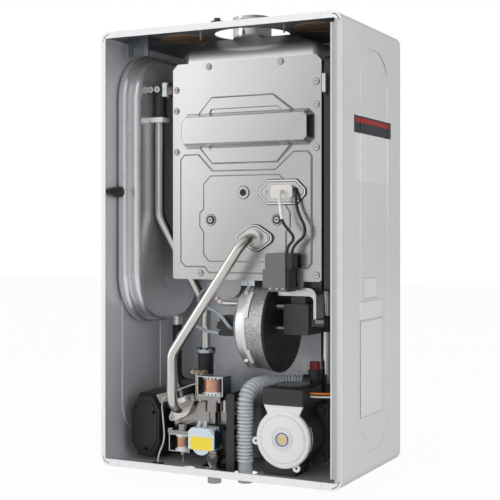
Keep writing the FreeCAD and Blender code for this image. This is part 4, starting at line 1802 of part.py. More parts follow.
def leads():
    # two leads leave the right side of the terminal box and go back and up to the control box
    x = PUMP_X + TERMINAL_W / 2
    z = PUMP_NECK_Z + TERMINAL_H / 2
    pair = []
    for shift in (0, PUMP_LEAD_PITCH):
        level = [(px, py, z + shift) for px, py in PUMP_LEAD_ROUTE]
        riser_y = PUMP_LEAD_RISER_Y - shift
        riser_x = PUMP_LEAD_ROUTE[-1][0]
        route = bent_route(
            [(x + SEAT, PUMP_LEAD_ROUTE[0][1], z + shift)] + level
            + [(riser_x, riser_y, z + shift), (riser_x, riser_y, CONTROL_BOTTOM_Z - SEAT)], PUMP_LEAD_BEND)
        pair.append(tube(route, PUMP_LEAD_R))
    save("pump_leads", *pair)

    # the sensor lead runs from the valve round the gas pipe to a plug lying on the base
    start = (UPPER_X - UPPER_FRAME_W / 2 - SEAT,) + SENSOR_LEAD_ROUTE[0][1:]
    plug_x, plug_y = SENSOR_LEAD_ROUTE[-1][:2]
    end = (plug_x, plug_y, FLOOR + PLUG_H)
    route = bent_route((start,) + SENSOR_LEAD_ROUTE + (end,), SENSOR_LEAD_BEND)
    save("sensor_lead", tube(route, SENSOR_LEAD_R))
    save("sensor_plug", box(
        plug_x - PLUG_L / 2, plug_y - PLUG_W / 2, FLOOR,
        plug_x + PLUG_L / 2, plug_y + PLUG_W / 2, FLOOR + PLUG_H))


casing()
flue()
heat_exchanger()
front_plate()
screws()
ignition()
control_box()
gas_pipe()
gas_valve()
solenoids()
modulator()
gas_bracket()
fan()
pressure_switch()
expansion_tank()
flow_pipes()
diverter()
pump()
relief_valve()
ribbed_hose()
plate_heat_exchanger()
pipe_stubs()
leads()
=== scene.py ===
import json
import math
import bmesh
import bpy
from mathutils import Matrix, Vector
from mathutils.geometry import convex_hull_2d


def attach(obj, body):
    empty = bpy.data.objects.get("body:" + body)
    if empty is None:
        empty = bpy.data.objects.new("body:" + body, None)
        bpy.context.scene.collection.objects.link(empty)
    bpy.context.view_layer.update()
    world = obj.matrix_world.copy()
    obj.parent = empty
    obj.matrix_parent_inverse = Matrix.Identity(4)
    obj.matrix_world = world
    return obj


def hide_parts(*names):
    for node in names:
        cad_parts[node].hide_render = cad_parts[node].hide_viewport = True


# A wall-hung gas boiler with its front cover off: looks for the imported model.
# X is to the right seen from the front, Y goes back to the wall and Z is up.
# Places and sizes on the boiler are in millimetres. Camera, lamps, floor and surface relief are in metres.
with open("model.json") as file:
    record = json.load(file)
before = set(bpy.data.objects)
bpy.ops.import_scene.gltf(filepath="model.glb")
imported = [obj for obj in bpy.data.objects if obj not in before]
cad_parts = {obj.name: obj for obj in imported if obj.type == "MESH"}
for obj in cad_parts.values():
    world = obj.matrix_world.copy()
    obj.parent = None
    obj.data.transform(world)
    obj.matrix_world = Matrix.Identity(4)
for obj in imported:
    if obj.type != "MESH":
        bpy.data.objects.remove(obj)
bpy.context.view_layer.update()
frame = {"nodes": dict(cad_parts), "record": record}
nodes = frame["nodes"]

MM = 0.001
CASE_MID_Z = 347.5

# the photographer's place, solved from the casing's corners in a 500 by 500 picture
CAMERA_PLACE = (0.8084, -1.7356, 0.3772)
CAMERA_YAW = math.radians(26.82)
FOCAL_PX = 1105.2
IMAGE_PX = 500
SENSOR_MM = 36.0
HORIZON_PX = 230.3


def add_object(name, data):
    obj = bpy.data.objects.new(name, data)
    bpy.context.scene.collection.objects.link(obj)
    return obj


def set_camera():
    data = bpy.data.cameras.new("camera")
    data.sensor_width = SENSOR_MM
    data.lens = FOCAL_PX / IMAGE_PX * SENSOR_MM
    data.shift_y = (HORIZON_PX - IMAGE_PX / 2) / IMAGE_PX
    data.clip_end = 20.0
    camera = add_object("camera", data)
    camera.location = CAMERA_PLACE
    camera.rotation_euler = (math.radians(90), 0, CAMERA_YAW)
    bpy.context.scene.camera = camera


class Tree:
    """Short ways to add nodes to a node tree and to join them."""

    def __init__(self, tree):
        self.tree = tree

    def add(self, kind, **values):
        node = self.tree.nodes.new(kind)
        for key, value in values.items():
            setattr(node, key, value)
        return node

    def link(self, source, target):
        """Join an output to an input, or set the input to a number, a direction or a colour."""
        if isinstance(source, (int, float, Vector)):
            target.default_value = source
        elif isinstance(source, tuple):
            target.default_value = (*source, 1)
        else:
            self.tree.links.new(source, target)

    def math(self, operation, first, second=None):
        node = self.add("ShaderNodeMath", operation=operation)
        self.link(first, node.inputs[0])
        if second is not None:
            self.link(second, node.inputs[1])
        return node.outputs["Value"]

    def dot(self, first, second):
        node = self.add("ShaderNodeVectorMath", operation="DOT_PRODUCT")
        self.link(first, node.inputs[0])
        self.link(second, node.inputs[1])
        return node.outputs["Value"]

    def spread(self, value, low, high, start=0.3, end=0.7):
        """Turn a range of a value, by default a texture's middle range, into another range."""
        node = self.add("ShaderNodeMapRange")
        for socket, limit in (("From Min", start), ("From Max", end), ("To Min", low), ("To Max", high)):
            node.inputs[socket].default_value = limit
        self.link(value, node.inputs["Value"])
        return node.outputs["Result"]

    def mix(self, amount, first, second):
        """Colour first where amount is 0 and second where it is 1."""
        node = self.add("ShaderNodeMix", data_type="RGBA")
        for socket, source in ((6, first), (7, second), (0, amount)):
            self.link(source, node.inputs[socket])
        return node.outputs[2]


class Shader(Tree):
    """A material with a Principled shader."""

    def __init__(self, name, colour, roughness, metallic=0.0, **sockets):
        self.name = name
        self.colour = colour
        self.material = bpy.data.materials.new(name)
        self.material.use_nodes = True
        super().__init__(self.material.node_tree)
        self.bsdf = self.tree.nodes["Principled BSDF"]
        sockets.update(Base_Color=colour, Roughness=roughness, Metallic=metallic)
        for socket, value in sockets.items():
            self.link(value, self.bsdf.inputs[socket.replace("_", " ")])
        self.normal = None

    def coords(self, stretch):
        """Places on the piece, squeezed along each axis by its share of stretch."""
        place = self.add("ShaderNodeTexCoord")
        mapping = self.add("ShaderNodeMapping")
        mapping.inputs["Scale"].default_value = stretch
        self.link(place.outputs["Object"], mapping.inputs["Vector"])
        return mapping.outputs["Vector"]

    def noise(self, scale, stretch=(1, 1, 1), detail=3.0, rough=0.55):
        node = self.add("ShaderNodeTexNoise")
        for socket, value in (("Scale", scale), ("Detail", detail), ("Roughness", rough)):
            node.inputs[socket].default_value = value
        self.link(self.coords(stretch), node.inputs["Vector"])
        return node.outputs["Fac"]

    def spangle(self, scale):
        node = self.add("ShaderNodeTexVoronoi")
        node.inputs["Scale"].default_value = scale
        self.link(self.coords((1, 1, 1)), node.inputs["Vector"])
        return node.outputs["Color"]

    def tint(self, value, shares):
        """Vary the base colour between two shares of itself."""
        low, high = (tuple(min(1.0, part * share) for part in self.colour) for share in shares)
        self.paint(self.mix(value, low, high))

    def paint(self, colour):
        self.link(colour, self.bsdf.inputs["Base Color"])

    def rough(self, value, low, high):
        """Vary the roughness between low and high."""
        self.link(self.spread(value, low, high), self.bsdf.inputs["Roughness"])

    def bump(self, height, depth):
        """Relief of a depth in metres, on top of the relief that is there already."""
        node = self.add("ShaderNodeBump")
        node.inputs["Distance"].default_value = depth
        node.inputs["Strength"].default_value = 1.0
        self.link(height, node.inputs["Height"])
        if self.normal is not None:
            self.link(self.normal, node.inputs["Normal"])
        self.normal = node.outputs["Normal"]
        self.link(self.normal, self.bsdf.inputs["Normal"])

    def surface(self, output):
        """X, Y and Z of the surface's Position or True Normal in the scene."""
        geometry = self.add("ShaderNodeNewGeometry")
        parts = self.add("ShaderNodeSeparateXYZ")
        self.link(geometry.outputs[output], parts.inputs["Vector"])
        return parts.outputs

    def inside(self, **limits):
        """1 where the place lies between the limits given for some of its axes, else 0."""
        place = self.surface("Position")
        result = None
        for axis, (low, high) in limits.items():
            above = self.math("GREATER_THAN", place[axis], low * MM)
            below = self.math("LESS_THAN", place[axis], high * MM)
            both = self.math("MULTIPLY", above, below)
            result = both if result is None else self.math("MULTIPLY", result, both)
        return result

    def edge_wear(self, radius, colour):
        """Lighter, worn colour where the surface bends sharply within a radius in metres."""
        bevel = self.add("ShaderNodeBevel", samples=4)
        bevel.inputs["Radius"].default_value = radius
        geometry = self.add("ShaderNodeNewGeometry")
        bend = self.dot(bevel.outputs["Normal"], geometry.outputs["Normal"])
        edge = self.spread(bend, 1.0, 0.0, 0.86, 0.995)
        patchy = self.math("MULTIPLY", edge, self.spread(self.noise(160), 0.0, 1.0))
        return self.mix(patchy, self.colour, colour)


def paint_metal(name, colour, roughness):
    """Powder-coated sheet with a faint orange peel."""
    m = Shader(name, colour, roughness, Coat_Weight=0.15, Coat_Roughness=0.25)
    m.tint(m.noise(7), (0.97, 1.02))
    m.rough(m.noise(55), roughness - 0.05, roughness + 0.07)
    m.bump(m.noise(1500, detail=1.0), 0.00006)
    return m


def brushed_lines(m, roughness):
    """Very fine lines along X, in the roughness and in the relief."""
    lines = m.noise(18, (1, 60, 60), detail=5.0, rough=0.7)
    m.rough(lines, roughness - 0.01, roughness + 0.02)
    m.bump(lines, 0.0000012)


def brushed(name, colour, roughness):
    """Satin steel with very fine lines, faintly clouded by handling."""
    m = Shader(name, colour, roughness, metallic=1.0)
    m.tint(m.spread(m.noise(9), 0.0, 1.0), (0.985, 1.01))
    brushed_lines(m, roughness)
    return m


def pipe_metal(name, colour, roughness):
    """Drawn tube, bright, with faint stains."""
    m = Shader(name, colour, roughness, metallic=1.0)
    m.tint(m.spread(m.noise(22, detail=4.0), 0.0, 1.0, 0.35, 0.65), (0.93, 1.03))
    m.rough(m.noise(50), roughness - 0.03, roughness + 0.05)
    m.bump(m.noise(300, detail=1.0), 0.000004)
    return m


def dark_steel(name, colour, roughness):
    """Smooth lacquered steel that mirrors softly."""
    m = Shader(name, colour, roughness, metallic=0.8)
    m.tint(m.noise(6), (0.93, 1.05))
    m.rough(m.noise(30), roughness - 0.02, roughness + 0.04)
    m.bump(m.noise(300, detail=1.0), 0.000003)
    return m


def cast(name, colour, roughness, grain=520, metallic=1.0, depth=0.0002):
    """Sand or die cast metal with a pitted skin."""
    m = Shader(name, colour, roughness, metallic=metallic)
    m.tint(m.spread(m.noise(40, detail=4.0), 0.0, 1.0), (0.88, 1.06))
    m.rough(m.noise(200), roughness - 0.04, roughness + 0.08)
    m.bump(m.noise(grain), depth)
    return m


def zinc(name, colour, roughness, metallic=1.0):
    """Zinc-plated sheet with soft spangles."""
    m = Shader(name, colour, roughness, metallic=metallic)
    m.tint(m.spread(m.spangle(60), 0.0, 1.0, 0.0, 1.0), (0.9, 1.06))
    m.rough(m.noise(30), roughness - 0.06, roughness + 0.08)
    m.bump(m.noise(600), 0.00005)
    return m


def plastic(name, colour, roughness, depth=0.00008):
    """Moulded plastic with a fine spark-eroded grain and slightly worn edges."""
    m = Shader(name, colour, roughness)
    m.paint(m.edge_wear(0.0012, tuple(min(1, part * 1.5 + 0.03) for part in colour)))
    m.rough(m.noise(90), roughness - 0.08, roughness + 0.1)
    m.bump(m.noise(1400, detail=2.0), depth)
    return m


def rubber(name, colour, roughness=0.55):
    m = Shader(name, colour, roughness)
    m.tint(m.spread(m.noise(60), 0.0, 1.0), (0.85, 1.2))
    m.rough(m.noise(140), roughness - 0.1, roughness + 0.12)
    m.bump(m.noise(900), 0.00008)
    return m


def label_paper(name, colour):
    """Printed foil with nothing written on it."""
    m = Shader(name, colour, 0.38)
    m.tint(m.noise(60), (0.95, 1.03))
    m.rough(m.noise(200), 0.32, 0.46)
    m.bump(m.noise(800), 0.00003)
    return m


def glass(name, colour):
    m = Shader(name, colour, 0.05, Transmission_Weight=0.6, IOR=1.5)
    m.rough(m.noise(300), 0.05, 0.15)
    m.bump(m.noise(500), 0.00003)
    return m


LABEL_RIM = (0.4, 0.41, 0.42)
LABEL_RIM_W = 1
LABEL_BLANK = (0.87, 0.88, 0.89)


def rimmed(y, z):
    """A blank sticker's thin rim and the field inside it: limits along Y and Z, and the colour."""
    field = ((low + LABEL_RIM_W, high - LABEL_RIM_W) for low, high in (y, z))
    return ((y, z, LABEL_RIM), (*field, LABEL_BLANK))


# blank stickers on the casing's right side: limits along Y and Z, and their colour
SIDE_STICKERS = (
    ((-203, -54), (451, 523), LABEL_BLANK),
    ((-207, -46), (523, 549), (0.05, 0.05, 0.06)),
    ((-200, -54), (539, 546), (0.42, 0.03, 0.03)),
    *rimmed((-166, -108), (273, 305)),
    *rimmed((-185, -86), (241, 270)),
    *rimmed((-180, -84), (94, 240)))
SIDE_FACE_X = (206.7, 209)
# painted shade on the folded lip of the right side panel, in two grey stripes: limits along X, and the colour
RIGHT_LIP_PAINTED_SHADE = (((188, 201), (0.42, 0.425, 0.44)), ((201, 207.4), (0.58, 0.585, 0.595)))
LIP_Y = (-257, -238)
LIP_Z = (11, 684)


def casing_shader():
    """White paint with stickers and painted shade on the right panel's folded lip, and bare steel on the
    faces that look inwards, with painted shade on those that look down.
    """
    m = Shader("casing_paint", (0.8, 0.81, 0.82), 0.34)
    place = m.surface("Position")
    normal = m.surface("True Normal")
    across = m.math("MULTIPLY", place["X"], normal["X"])
    up = m.math("MULTIPLY", m.math("SUBTRACT", place["Z"], CASE_MID_Z * MM), normal["Z"])
    inwards = m.math("LESS_THAN", m.math("ADD", across, up), -0.02)
    paint = m.mix(m.spread(m.noise(5), 0.0, 1.0), (0.78, 0.79, 0.8), (0.82, 0.83, 0.84))
    for y, z, colour in SIDE_STICKERS:
        paint = m.mix(m.inside(X=SIDE_FACE_X, Y=y, Z=z), paint, colour)
    # painted shade: the folded lip made greyer in two stripes
    for x, colour in RIGHT_LIP_PAINTED_SHADE:
        paint = m.mix(m.inside(X=x, Y=LIP_Y, Z=LIP_Z), paint, colour)
    bare = m.mix(m.spread(m.noise(6), 0.0, 1.0), (0.6, 0.61, 0.64), (0.68, 0.69, 0.72))
    # painted shade: inward faces that look down, under the top, made dark
    bare = m.mix(m.math("LESS_THAN", normal["Z"], -0.5), bare, (0.2, 0.2, 0.205))
    m.paint(m.mix(inwards, paint, bare))
    m.link(m.math("MULTIPLY", inwards, 0.3), m.bsdf.inputs["Metallic"])
    m.rough(m.noise(40), 0.3, 0.42)
    m.bump(m.noise(1500, detail=1.0), 0.00003)
    return m


def frame_shader():
    """Zinc-plated frames, bluish where they face sideways."""
    pale = (0.62, 0.66, 0.68)
    m = Shader("frame_zinc", pale, 0.3, metallic=1.0)
    sideways = m.math("GREATER_THAN", m.math("ABSOLUTE", m.surface("True Normal")["X"]), 0.7)
    m.paint(m.mix(sideways, m.mix(m.noise(40), pale, (0.56, 0.6, 0.63)), (0.2, 0.27, 0.33)))
    m.rough(m.noise(60), 0.24, 0.38)
    m.bump(m.noise(600), 0.00003)
    return m


SCROLL_BAND_X = (25.5, 60)


def scroll_shader():
    """Bright cast bowl of the blower, with a coarse dark grain behind its band."""
    pale = (0.86, 0.855, 0.85)
    m = Shader("fan_cast", pale, 0.36, metallic=0.85)
    behind = m.inside(X=SCROLL_BAND_X)
    patches = m.spread(m.noise(420, rough=0.65), 0.0, 1.0, 0.34, 0.66)
    band = m.mix(patches, (0.56, 0.56, 0.56), (0.24, 0.24, 0.24))
    m.paint(m.mix(behind, m.mix(m.noise(30), pale, (0.8, 0.8, 0.8)), band))
    m.rough(m.noise(120), 0.3, 0.48)
    m.bump(m.math("MULTIPLY", m.noise(330, detail=4.0, rough=0.7), m.math("ADD", behind, 0.15)), 0.0005)
    return m


def plate_shader():
    """Satin steel of the front plate, with a painted highlight that makes it brighter towards its top left.
    """
    m = Shader("plate_steel", (0.66, 0.655, 0.645), 0.26, metallic=1.0)
    place = m.surface("Position")
    corner = m.math("SUBTRACT", m.math("MULTIPLY", place["Z"], 0.6), place["X"])
    # painted highlight: the colour runs from darker at the bottom right to bright at the top left
    m.paint(m.mix(m.spread(corner, 0.0, 1.0, 0.22, 0.5), (0.53, 0.527, 0.52), (0.9, 0.895, 0.885)))
    brushed_lines(m, 0.26)
    return m


HOOD_FOOT_Z = 671.0


def hood_shader():
    """The flue hood: painted shade on its slopes, and a painted highlight along the rolled edge at its foot.
    """
    shaded_grey = (0.2, 0.2, 0.205)
    m = Shader("flue_hood", shaded_grey, 0.26, metallic=0.9)
    height = m.surface("Position")["Z"]
    # painted highlight: near white along the foot, fading into the painted shade of the slopes above
    foot = m.spread(height, 1.0, 0.0, (HOOD_FOOT_Z - 16) * MM, HOOD_FOOT_Z * MM)
    m.paint(m.mix(foot, m.mix(m.noise(9), shaded_grey, (0.24, 0.24, 0.245)), (0.9, 0.9, 0.9)))
    slope = m.spread(height, 0.3, 0.6, (HOOD_FOOT_Z - 11) * MM, HOOD_FOOT_Z * MM)
    m.link(slope, m.bsdf.inputs["Roughness"])
    m.bump(m.noise(60, detail=1.0), 0.000003)
    return m


TRANSFORMER_SIDE_X = (96.2, 108)


def transformer_shader():
    """Grey moulded face and black side of the ignition transformer."""
    grey = (0.13, 0.135, 0.14)
    m = Shader("transformer_grey", grey, 0.45)
    m.paint(m.mix(m.inside(X=TRANSFORMER_SIDE_X), grey, (0.02, 0.02, 0.022)))
    m.rough(m.noise(90), 0.36, 0.52)
    m.bump(m.noise(1400, detail=2.0), 0.00006)
    return m


def hose_shader():
    """Clear bluish plastic, with painted highlights on the ribs' crests and painted shade in their roots."""
    m = Shader("hose_clear", (0.75, 0.785, 0.84), 0.09, Transmission_Weight=0.58, IOR=1.45)
    geometry = m.add("ShaderNodeNewGeometry")
    # painted shade and highlight: darker where the surface is hollow, lighter where it bulges
    m.tint(m.spread(geometry.outputs["Pointiness"], 0.0, 1.0, 0.46, 0.54), (0.75, 1.2))
    m.rough(m.noise(300), 0.08, 0.16)
    m.bump(m.noise(500), 0.00003)
    return m


LOOKS = {shader.name: shader for shader in (
    casing_shader(),
    zinc("back_sheet", (0.68, 0.7, 0.73), 0.4, metallic=0.45),
    dark_steel("tank_steel", (0.82, 0.83, 0.85), 0.24),
    rubber("gasket_rubber", (0.2, 0.13, 0.075)),
    rubber("black_rubber", (0.02, 0.02, 0.022)),
    pipe_metal("flue_steel", (0.62, 0.62, 0.63), 0.12),
    brushed("exchanger_steel", (0.34, 0.345, 0.35), 0.3),
    plate_shader(),
    scroll_shader(),
    glass("sight_glass", (0.02, 0.02, 0.02)),
    pipe_metal("fastener_steel", (0.6, 0.6, 0.6), 0.2),
    plastic("ceramic_white", (0.72, 0.7, 0.65), 0.3),
    brushed("electrode_steel", (0.8, 0.8, 0.79), 0.22),
    plastic("black_plastic", (0.022, 0.023, 0.025), 0.42),
    plastic("drive_plastic", (0.01, 0.0105, 0.012), 0.36, depth=0.00001),
    rubber("lead_black", (0.02, 0.02, 0.02), 0.45),
    pipe_metal("pipe_steel", (0.72, 0.7, 0.675), 0.22),
    cast("cast_aluminium", (0.38, 0.36, 0.345), 0.17, grain=500, depth=0.00001),
    pipe_metal("nipple_brass", (0.7, 0.62, 0.48), 0.22),
    zinc("coil_frame_zinc", (0.62, 0.68, 0.72), 0.28),
    plastic("bobbin_white", (0.76, 0.78, 0.78), 0.35),
    pipe_metal("copper_wire", (0.86, 0.45, 0.27), 0.3),
    pipe_metal("plunger_steel", (0.7, 0.7, 0.7), 0.2),
    plastic("modulator_plastic", (0.6, 0.69, 0.76), 0.32),
    zinc("bracket_zinc", (0.66, 0.66, 0.66), 0.3),
    plastic("fan_cover_metal", (0.016, 0.016, 0.018), 0.42),
    pipe_metal("fan_wheel_metal", (0.6, 0.6, 0.6), 0.3),
    plastic("motor_black", (0.035, 0.036, 0.038), 0.4),
    rubber("tube_silicone", (0.36, 0.4, 0.44), 0.3),
    cast("pump_cast_iron", (0.045, 0.046, 0.05), 0.42, metallic=0.4),
    paint_metal("pump_white", (0.76, 0.76, 0.765), 0.3),
    pipe_metal("rotor_steel", (0.6, 0.6, 0.6), 0.25),
    pipe_metal("plug_brass", (0.84, 0.68, 0.38), 0.2),
    plastic("relief_red", (0.17, 0.02, 0.02), 0.38),
    hose_shader(),
    brushed("exchanger_stack", (0.5, 0.5, 0.49), 0.3),
    pipe_metal("stub_brass", (0.72, 0.62, 0.42), 0.24),
    rubber("lead_wire", (0.75, 0.3, 0.1), 0.4),
    rubber("sensor_wire", (0.5, 0.48, 0.45), 0.4),
    plastic("plug_black", (0.02, 0.02, 0.02), 0.4),
    label_paper("label_yellow", (0.86, 0.68, 0.06)),
    label_paper("label_white", (0.74, 0.74, 0.72)),
    hood_shader(),
    # painted shade: darker steel for the pressed fields' rims, drawing dark lines along their edges
    pipe_metal("bead_painted_shade", (0.4, 0.4, 0.4), 0.2),
    plastic("post_grey", (0.5, 0.5, 0.49), 0.3),
    pipe_metal("copper_tube", (0.75, 0.36, 0.2), 0.3),
    label_paper("label_grey", (0.2, 0.205, 0.21)),
    label_paper("tag_brown", (0.24, 0.09, 0.06)),
    plastic("orange_plastic", (0.85, 0.2, 0.03), 0.4),
    plastic("white_plastic", (0.74, 0.74, 0.73), 0.36),
    plastic("red_plastic", (0.55, 0.04, 0.04), 0.4),
    plastic("cap_brown", (0.05, 0.03, 0.022), 0.45),
    plastic("blue_ring", (0.05, 0.08, 0.32), 0.35),
    rubber("lead_orange", (0.82, 0.24, 0.04), 0.4),
    rubber("lead_white", (0.74, 0.73, 0.7), 0.4),
    zinc("frame_blue", (0.3, 0.42, 0.53), 0.34),
    zinc("bracket_blue", (0.24, 0.27, 0.31), 0.36),
    pipe_metal("spring_wire", (0.4, 0.4, 0.4), 0.25),
    plastic("print_grey", (0.3, 0.3, 0.31), 0.5),
    transformer_shader(),
    frame_shader(),
)}


def place_piece(name, data, look, body="casing", replaces=()):
    """Put a piece in the scene with its look, on a body."""
    data.materials.append(LOOKS[look].material)
    obj = add_object(name, data)
    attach(obj, body)
    if replaces:
        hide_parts(*replaces)
    return obj


def skin(mesh, rings, closed=False):
    """Faces between each ring of points and the next, and from the last ring to the first if closed."""
    for a, b in zip(rings, rings[1:] + rings[:1] if closed else rings[1:]):
        for k in range(len(a)):
            n = (k + 1) % len(a)
            mesh.faces.new((a[k], a[n], b[n], b[k]))


def around(sides):
    """Evenly spread angles, once round."""
    return [2 * math.pi * k / sides for k in range(sides)]


def finished(mesh, name):
    """Mesh data of what was built, with its faces turned outwards and smooth."""
    bmesh.ops.recalc_face_normals(mesh, faces=mesh.faces)
    data = bpy.data.meshes.new(name)
    mesh.to_mesh(data)
    mesh.free()
    data.polygons.foreach_set("use_smooth", [True] * len(data.polygons))
    return data


class Build:
    """Collects mesh parts and makes one piece of them."""

    def __init__(self, name):
        self.name = name
        self.mesh = bmesh.new()

    def box(self, x0, y0, z0, x1, y1, z1, turn=None):
        """A block between two corners, turned about its own middle if asked."""
        verts = bmesh.ops.create_cube(self.mesh, size=1.0)["verts"]
        size = Matrix.Diagonal((x1 - x0, y1 - y0, z1 - z0, 1))
        middle = Matrix.Translation(((x0 + x1) / 2, (y0 + y1) / 2, (z0 + z1) / 2))
        place = middle @ (turn or Matrix.Identity(4)) @ size
        bmesh.ops.transform(self.mesh, matrix=place, verts=verts)
        return self

    def rod(self, start, end, radius, sides=28):
        """A round bar from one point to another."""
        start, end = Vector(start), Vector(end)
        heading = end - start
        verts = bmesh.ops.create_cone(
            self.mesh, cap_ends=True, segments=sides, radius1=radius, radius2=radius,
            depth=heading.length)["verts"]
        turn = heading.to_track_quat("Z", "Y").to_matrix().to_4x4()
        place = Matrix.Translation((start + end) / 2) @ turn
        bmesh.ops.transform(self.mesh, matrix=place, verts=verts)
        return self

    def loft(self, sections, corner, steps=6):
        """A closed body through rounded rectangles given by x0, y0, x1, y1 and z, from the lowest up."""
        rings = []
        for x0, y0, x1, y1, z in sections:
            ring = []
            for cx, cy, start in (
                    (x1 - corner, y1 - corner, 0), (x0 + corner, y1 - corner, 90),
                    (x0 + corner, y0 + corner, 180), (x1 - corner, y0 + corner, 270)):
                for k in range(steps + 1):
                    angle = math.radians(start + 90 * k / steps)
                    ring.append(self.mesh.verts.new(
                        (cx + corner * math.cos(angle), cy + corner * math.sin(angle), z)))
            rings.append(ring)
        skin(self.mesh, rings)
        self.mesh.faces.new(list(reversed(rings[0])))
        self.mesh.faces.new(rings[-1])
        return self

    def ring(self, centre, axis, r_out, r_in, depth, sides=40):
        """A flat ring with its middle at centre."""
        turn = Vector(axis).to_track_quat("Z", "Y").to_matrix().to_4x4()
        place = Matrix.Translation(centre) @ turn
        half = depth / 2
        rings = []
        for radius, height in ((r_out, -half), (r_out, half), (r_in, half), (r_in, -half)):
            rings.append([
                self.mesh.verts.new(place @ Vector((radius * math.cos(a), radius * math.sin(a), height)))
                for a in around(sides)])
        skin(self.mesh, rings, closed=True)
        return self

    def hull(self, circles, y0, y1, sides=48):
        """A flat plate between two places along Y, drawn tight around circles given by x, z and radius."""
        dots = [
            (x + radius * math.cos(angle), z + radius * math.sin(angle))
            for x, z, radius in circles for angle in around(sides)]
        rim = [dots[index] for index in convex_hull_2d(dots)]
        front, back = ([self.mesh.verts.new((x, y, z)) for x, z in rim] for y in (y0, y1))
        self.mesh.faces.new(front)
        self.mesh.faces.new(list(reversed(back)))
        skin(self.mesh, [front, back])
        return self

    def arc(self, x, z, y0, y1, r_in, r_out, start, end, steps=10):
        """Part of a ring about an axis along Y, between two angles in degrees from the X axis."""
        rings = []
        for k in range(steps + 1):
            angle = math.radians(start + (end - start) * k / steps)
            rings.append([
                self.mesh.verts.new((x + radius * math.cos(angle), y, z + radius * math.sin(angle)))
                for radius, y in ((r_in, y0), (r_out, y0), (r_out, y1), (r_in, y1))])
        skin(self.mesh, rings)
        self.mesh.faces.new(rings[0])
        self.mesh.faces.new(list(reversed(rings[-1])))
        return self

    def done(self, look, slot=None, body="casing", bevel=0.3, replaces=()):
        bmesh.ops.scale(self.mesh, vec=(MM, MM, MM), verts=self.mesh.verts)
        data = finished(self.mesh, self.name)
        data.set_sharp_from_angle(angle=math.radians(35))
        obj = place_piece(self.name, data, look, body, replaces)
        if bevel:
            edge = obj.modifiers.new("edge", "BEVEL")
            edge.width = bevel * MM
            edge.segments = 2
            edge.limit_method = "ANGLE"
            edge.angle_limit = math.radians(40)


def new_curve(name, lines, smooth=True):
    """Open lines: smooth ones with the points as control points, or straight ones from point to point."""
    data = bpy.data.curves.new(name, "CURVE")
    data.dimensions = "3D"
    for points in lines:
        line = data.splines.new("NURBS" if smooth else "POLY")
        line.points.add(len(points) - 1)
        for spot, place in zip(line.points, points):
            spot.co = (place[0] * MM, place[1] * MM, place[2] * MM, 1)
        if smooth:
            line.order_u = 3
            line.use_endpoint_u = True
    return data


def tube(name, lines, radius, look, replaces=(), smooth=True, roundness=6, caps=True):
    """One or more round leads, tubes or wires along their lines."""
    data = new_curve(name, lines, smooth)
    data.resolution_u = 12
    data.bevel_depth = radius * MM
    data.bevel_resolution = roundness
    data.use_fill_caps = caps
    place_piece(name, data, look, replaces=replaces)


def line_points(points, steps=24):
    """Points read off the smooth line that the control points give, in metres."""
    data = new_curve("route", (points,))
    data.resolution_u = steps
    holder = add_object("route", data)
    mesh = bpy.data.meshes.new_from_object(holder)
    places = [v.co.copy() for v in mesh.vertices]
    bpy.data.objects.remove(holder)
    bpy.data.curves.remove(data)
    bpy.data.meshes.remove(mesh)
    return places


IGNITION_LEFT = (
    (83.06, -192.5, 436.95), (82.9, -204, 437), (87, -203.5, 402), (90, -203, 387), (111, -201, 365.5),
    (95.5, -200, 352), (95.5, -200, 342.3))
IGNITION_RIGHT = (
    (98.86, -183.7, 441.95), (104, -184.2, 442), (105, -188, 410), (128, -192, 373), (103, -198, 352),
    (103, -198, 342.3))
IGNITION_R = 2.3
SLEEVE = ((83.06, -192.6, 436.95), (82.9, -204, 437), (87, -203.5, 402), (88.5, -203.25, 394.5))
SLEEVE_R = 2.6
SWITCH_TO_SUMP = (
    (-8, -183.3, 222), (-8, -191, 222), (-27, -190, 245), (-52, -188, 254), (-86, -160, 262),
    (-86, -128, 286), (-62.3, -128, 286))
SWITCH_TO_VALVE = (
    (-34.6, -178, 213), (-55, -178, 213), (-76, -188, 226), (-94, -202, 214), (-100, -204.5, 192),
    (-100, -204.5, 130), (-104, -178, 117), (-104, -178, 106.3))
SWITCH_TUBE_R = 2.8
PUMP_LEAD_LOW = (
    (130.3, -190, 123.5), (160, -190, 123.5), (172, -150, 123.5), (172, -120, 123.5), (172, -120, 284.7))
PUMP_LEAD_HIGH = (
    (130.3, -190, 128.5), (160, -190, 128.5), (172, -150, 128.5), (172, -125, 128.5), (172, -125, 284.7))
PUMP_LEAD_R = 1.6
SENSOR_LEAD = (
    (-60.3, -190, 132), (-72, -190, 132), (-112, -206, 113), (-122, -212, 104), (-117, -214, 72),
    (-114, -214, 40), (-124, -219, 16), (-124, -219, 5.2))
SENSOR_LEAD_R = 1.2
TANK_HOSE = ((-183, -58, 212), (-183, -58, 150), (-183, -58, 106), (-128.2, -58, 106))
TANK_HOSE_R = 8.0


def soft_pieces():
    tube("ignition_cables", (IGNITION_LEFT, IGNITION_RIGHT), IGNITION_R, "lead_black",
         replaces=("ignition_leads",))
    tube("lead_sleeve", (SLEEVE,), SLEEVE_R, "lead_white")
    tube("pressure_tubes", (SWITCH_TO_SUMP, SWITCH_TO_VALVE), SWITCH_TUBE_R, "tube_silicone",
         replaces=("silicone_tubes",))
    tube("pump_wire_white", (PUMP_LEAD_LOW,), PUMP_LEAD_R, "lead_white")
    tube("pump_wire_orange", (PUMP_LEAD_HIGH,), PUMP_LEAD_R, "lead_orange", ("pump_leads",))
    tube("sensor_wire", (SENSOR_LEAD,), SENSOR_LEAD_R, "sensor_wire", replaces=("sensor_lead",))
    tube("tank_tube", (TANK_HOSE,), TANK_HOSE_R, "black_rubber", replaces=("tank_hose",))
    drain_hose()


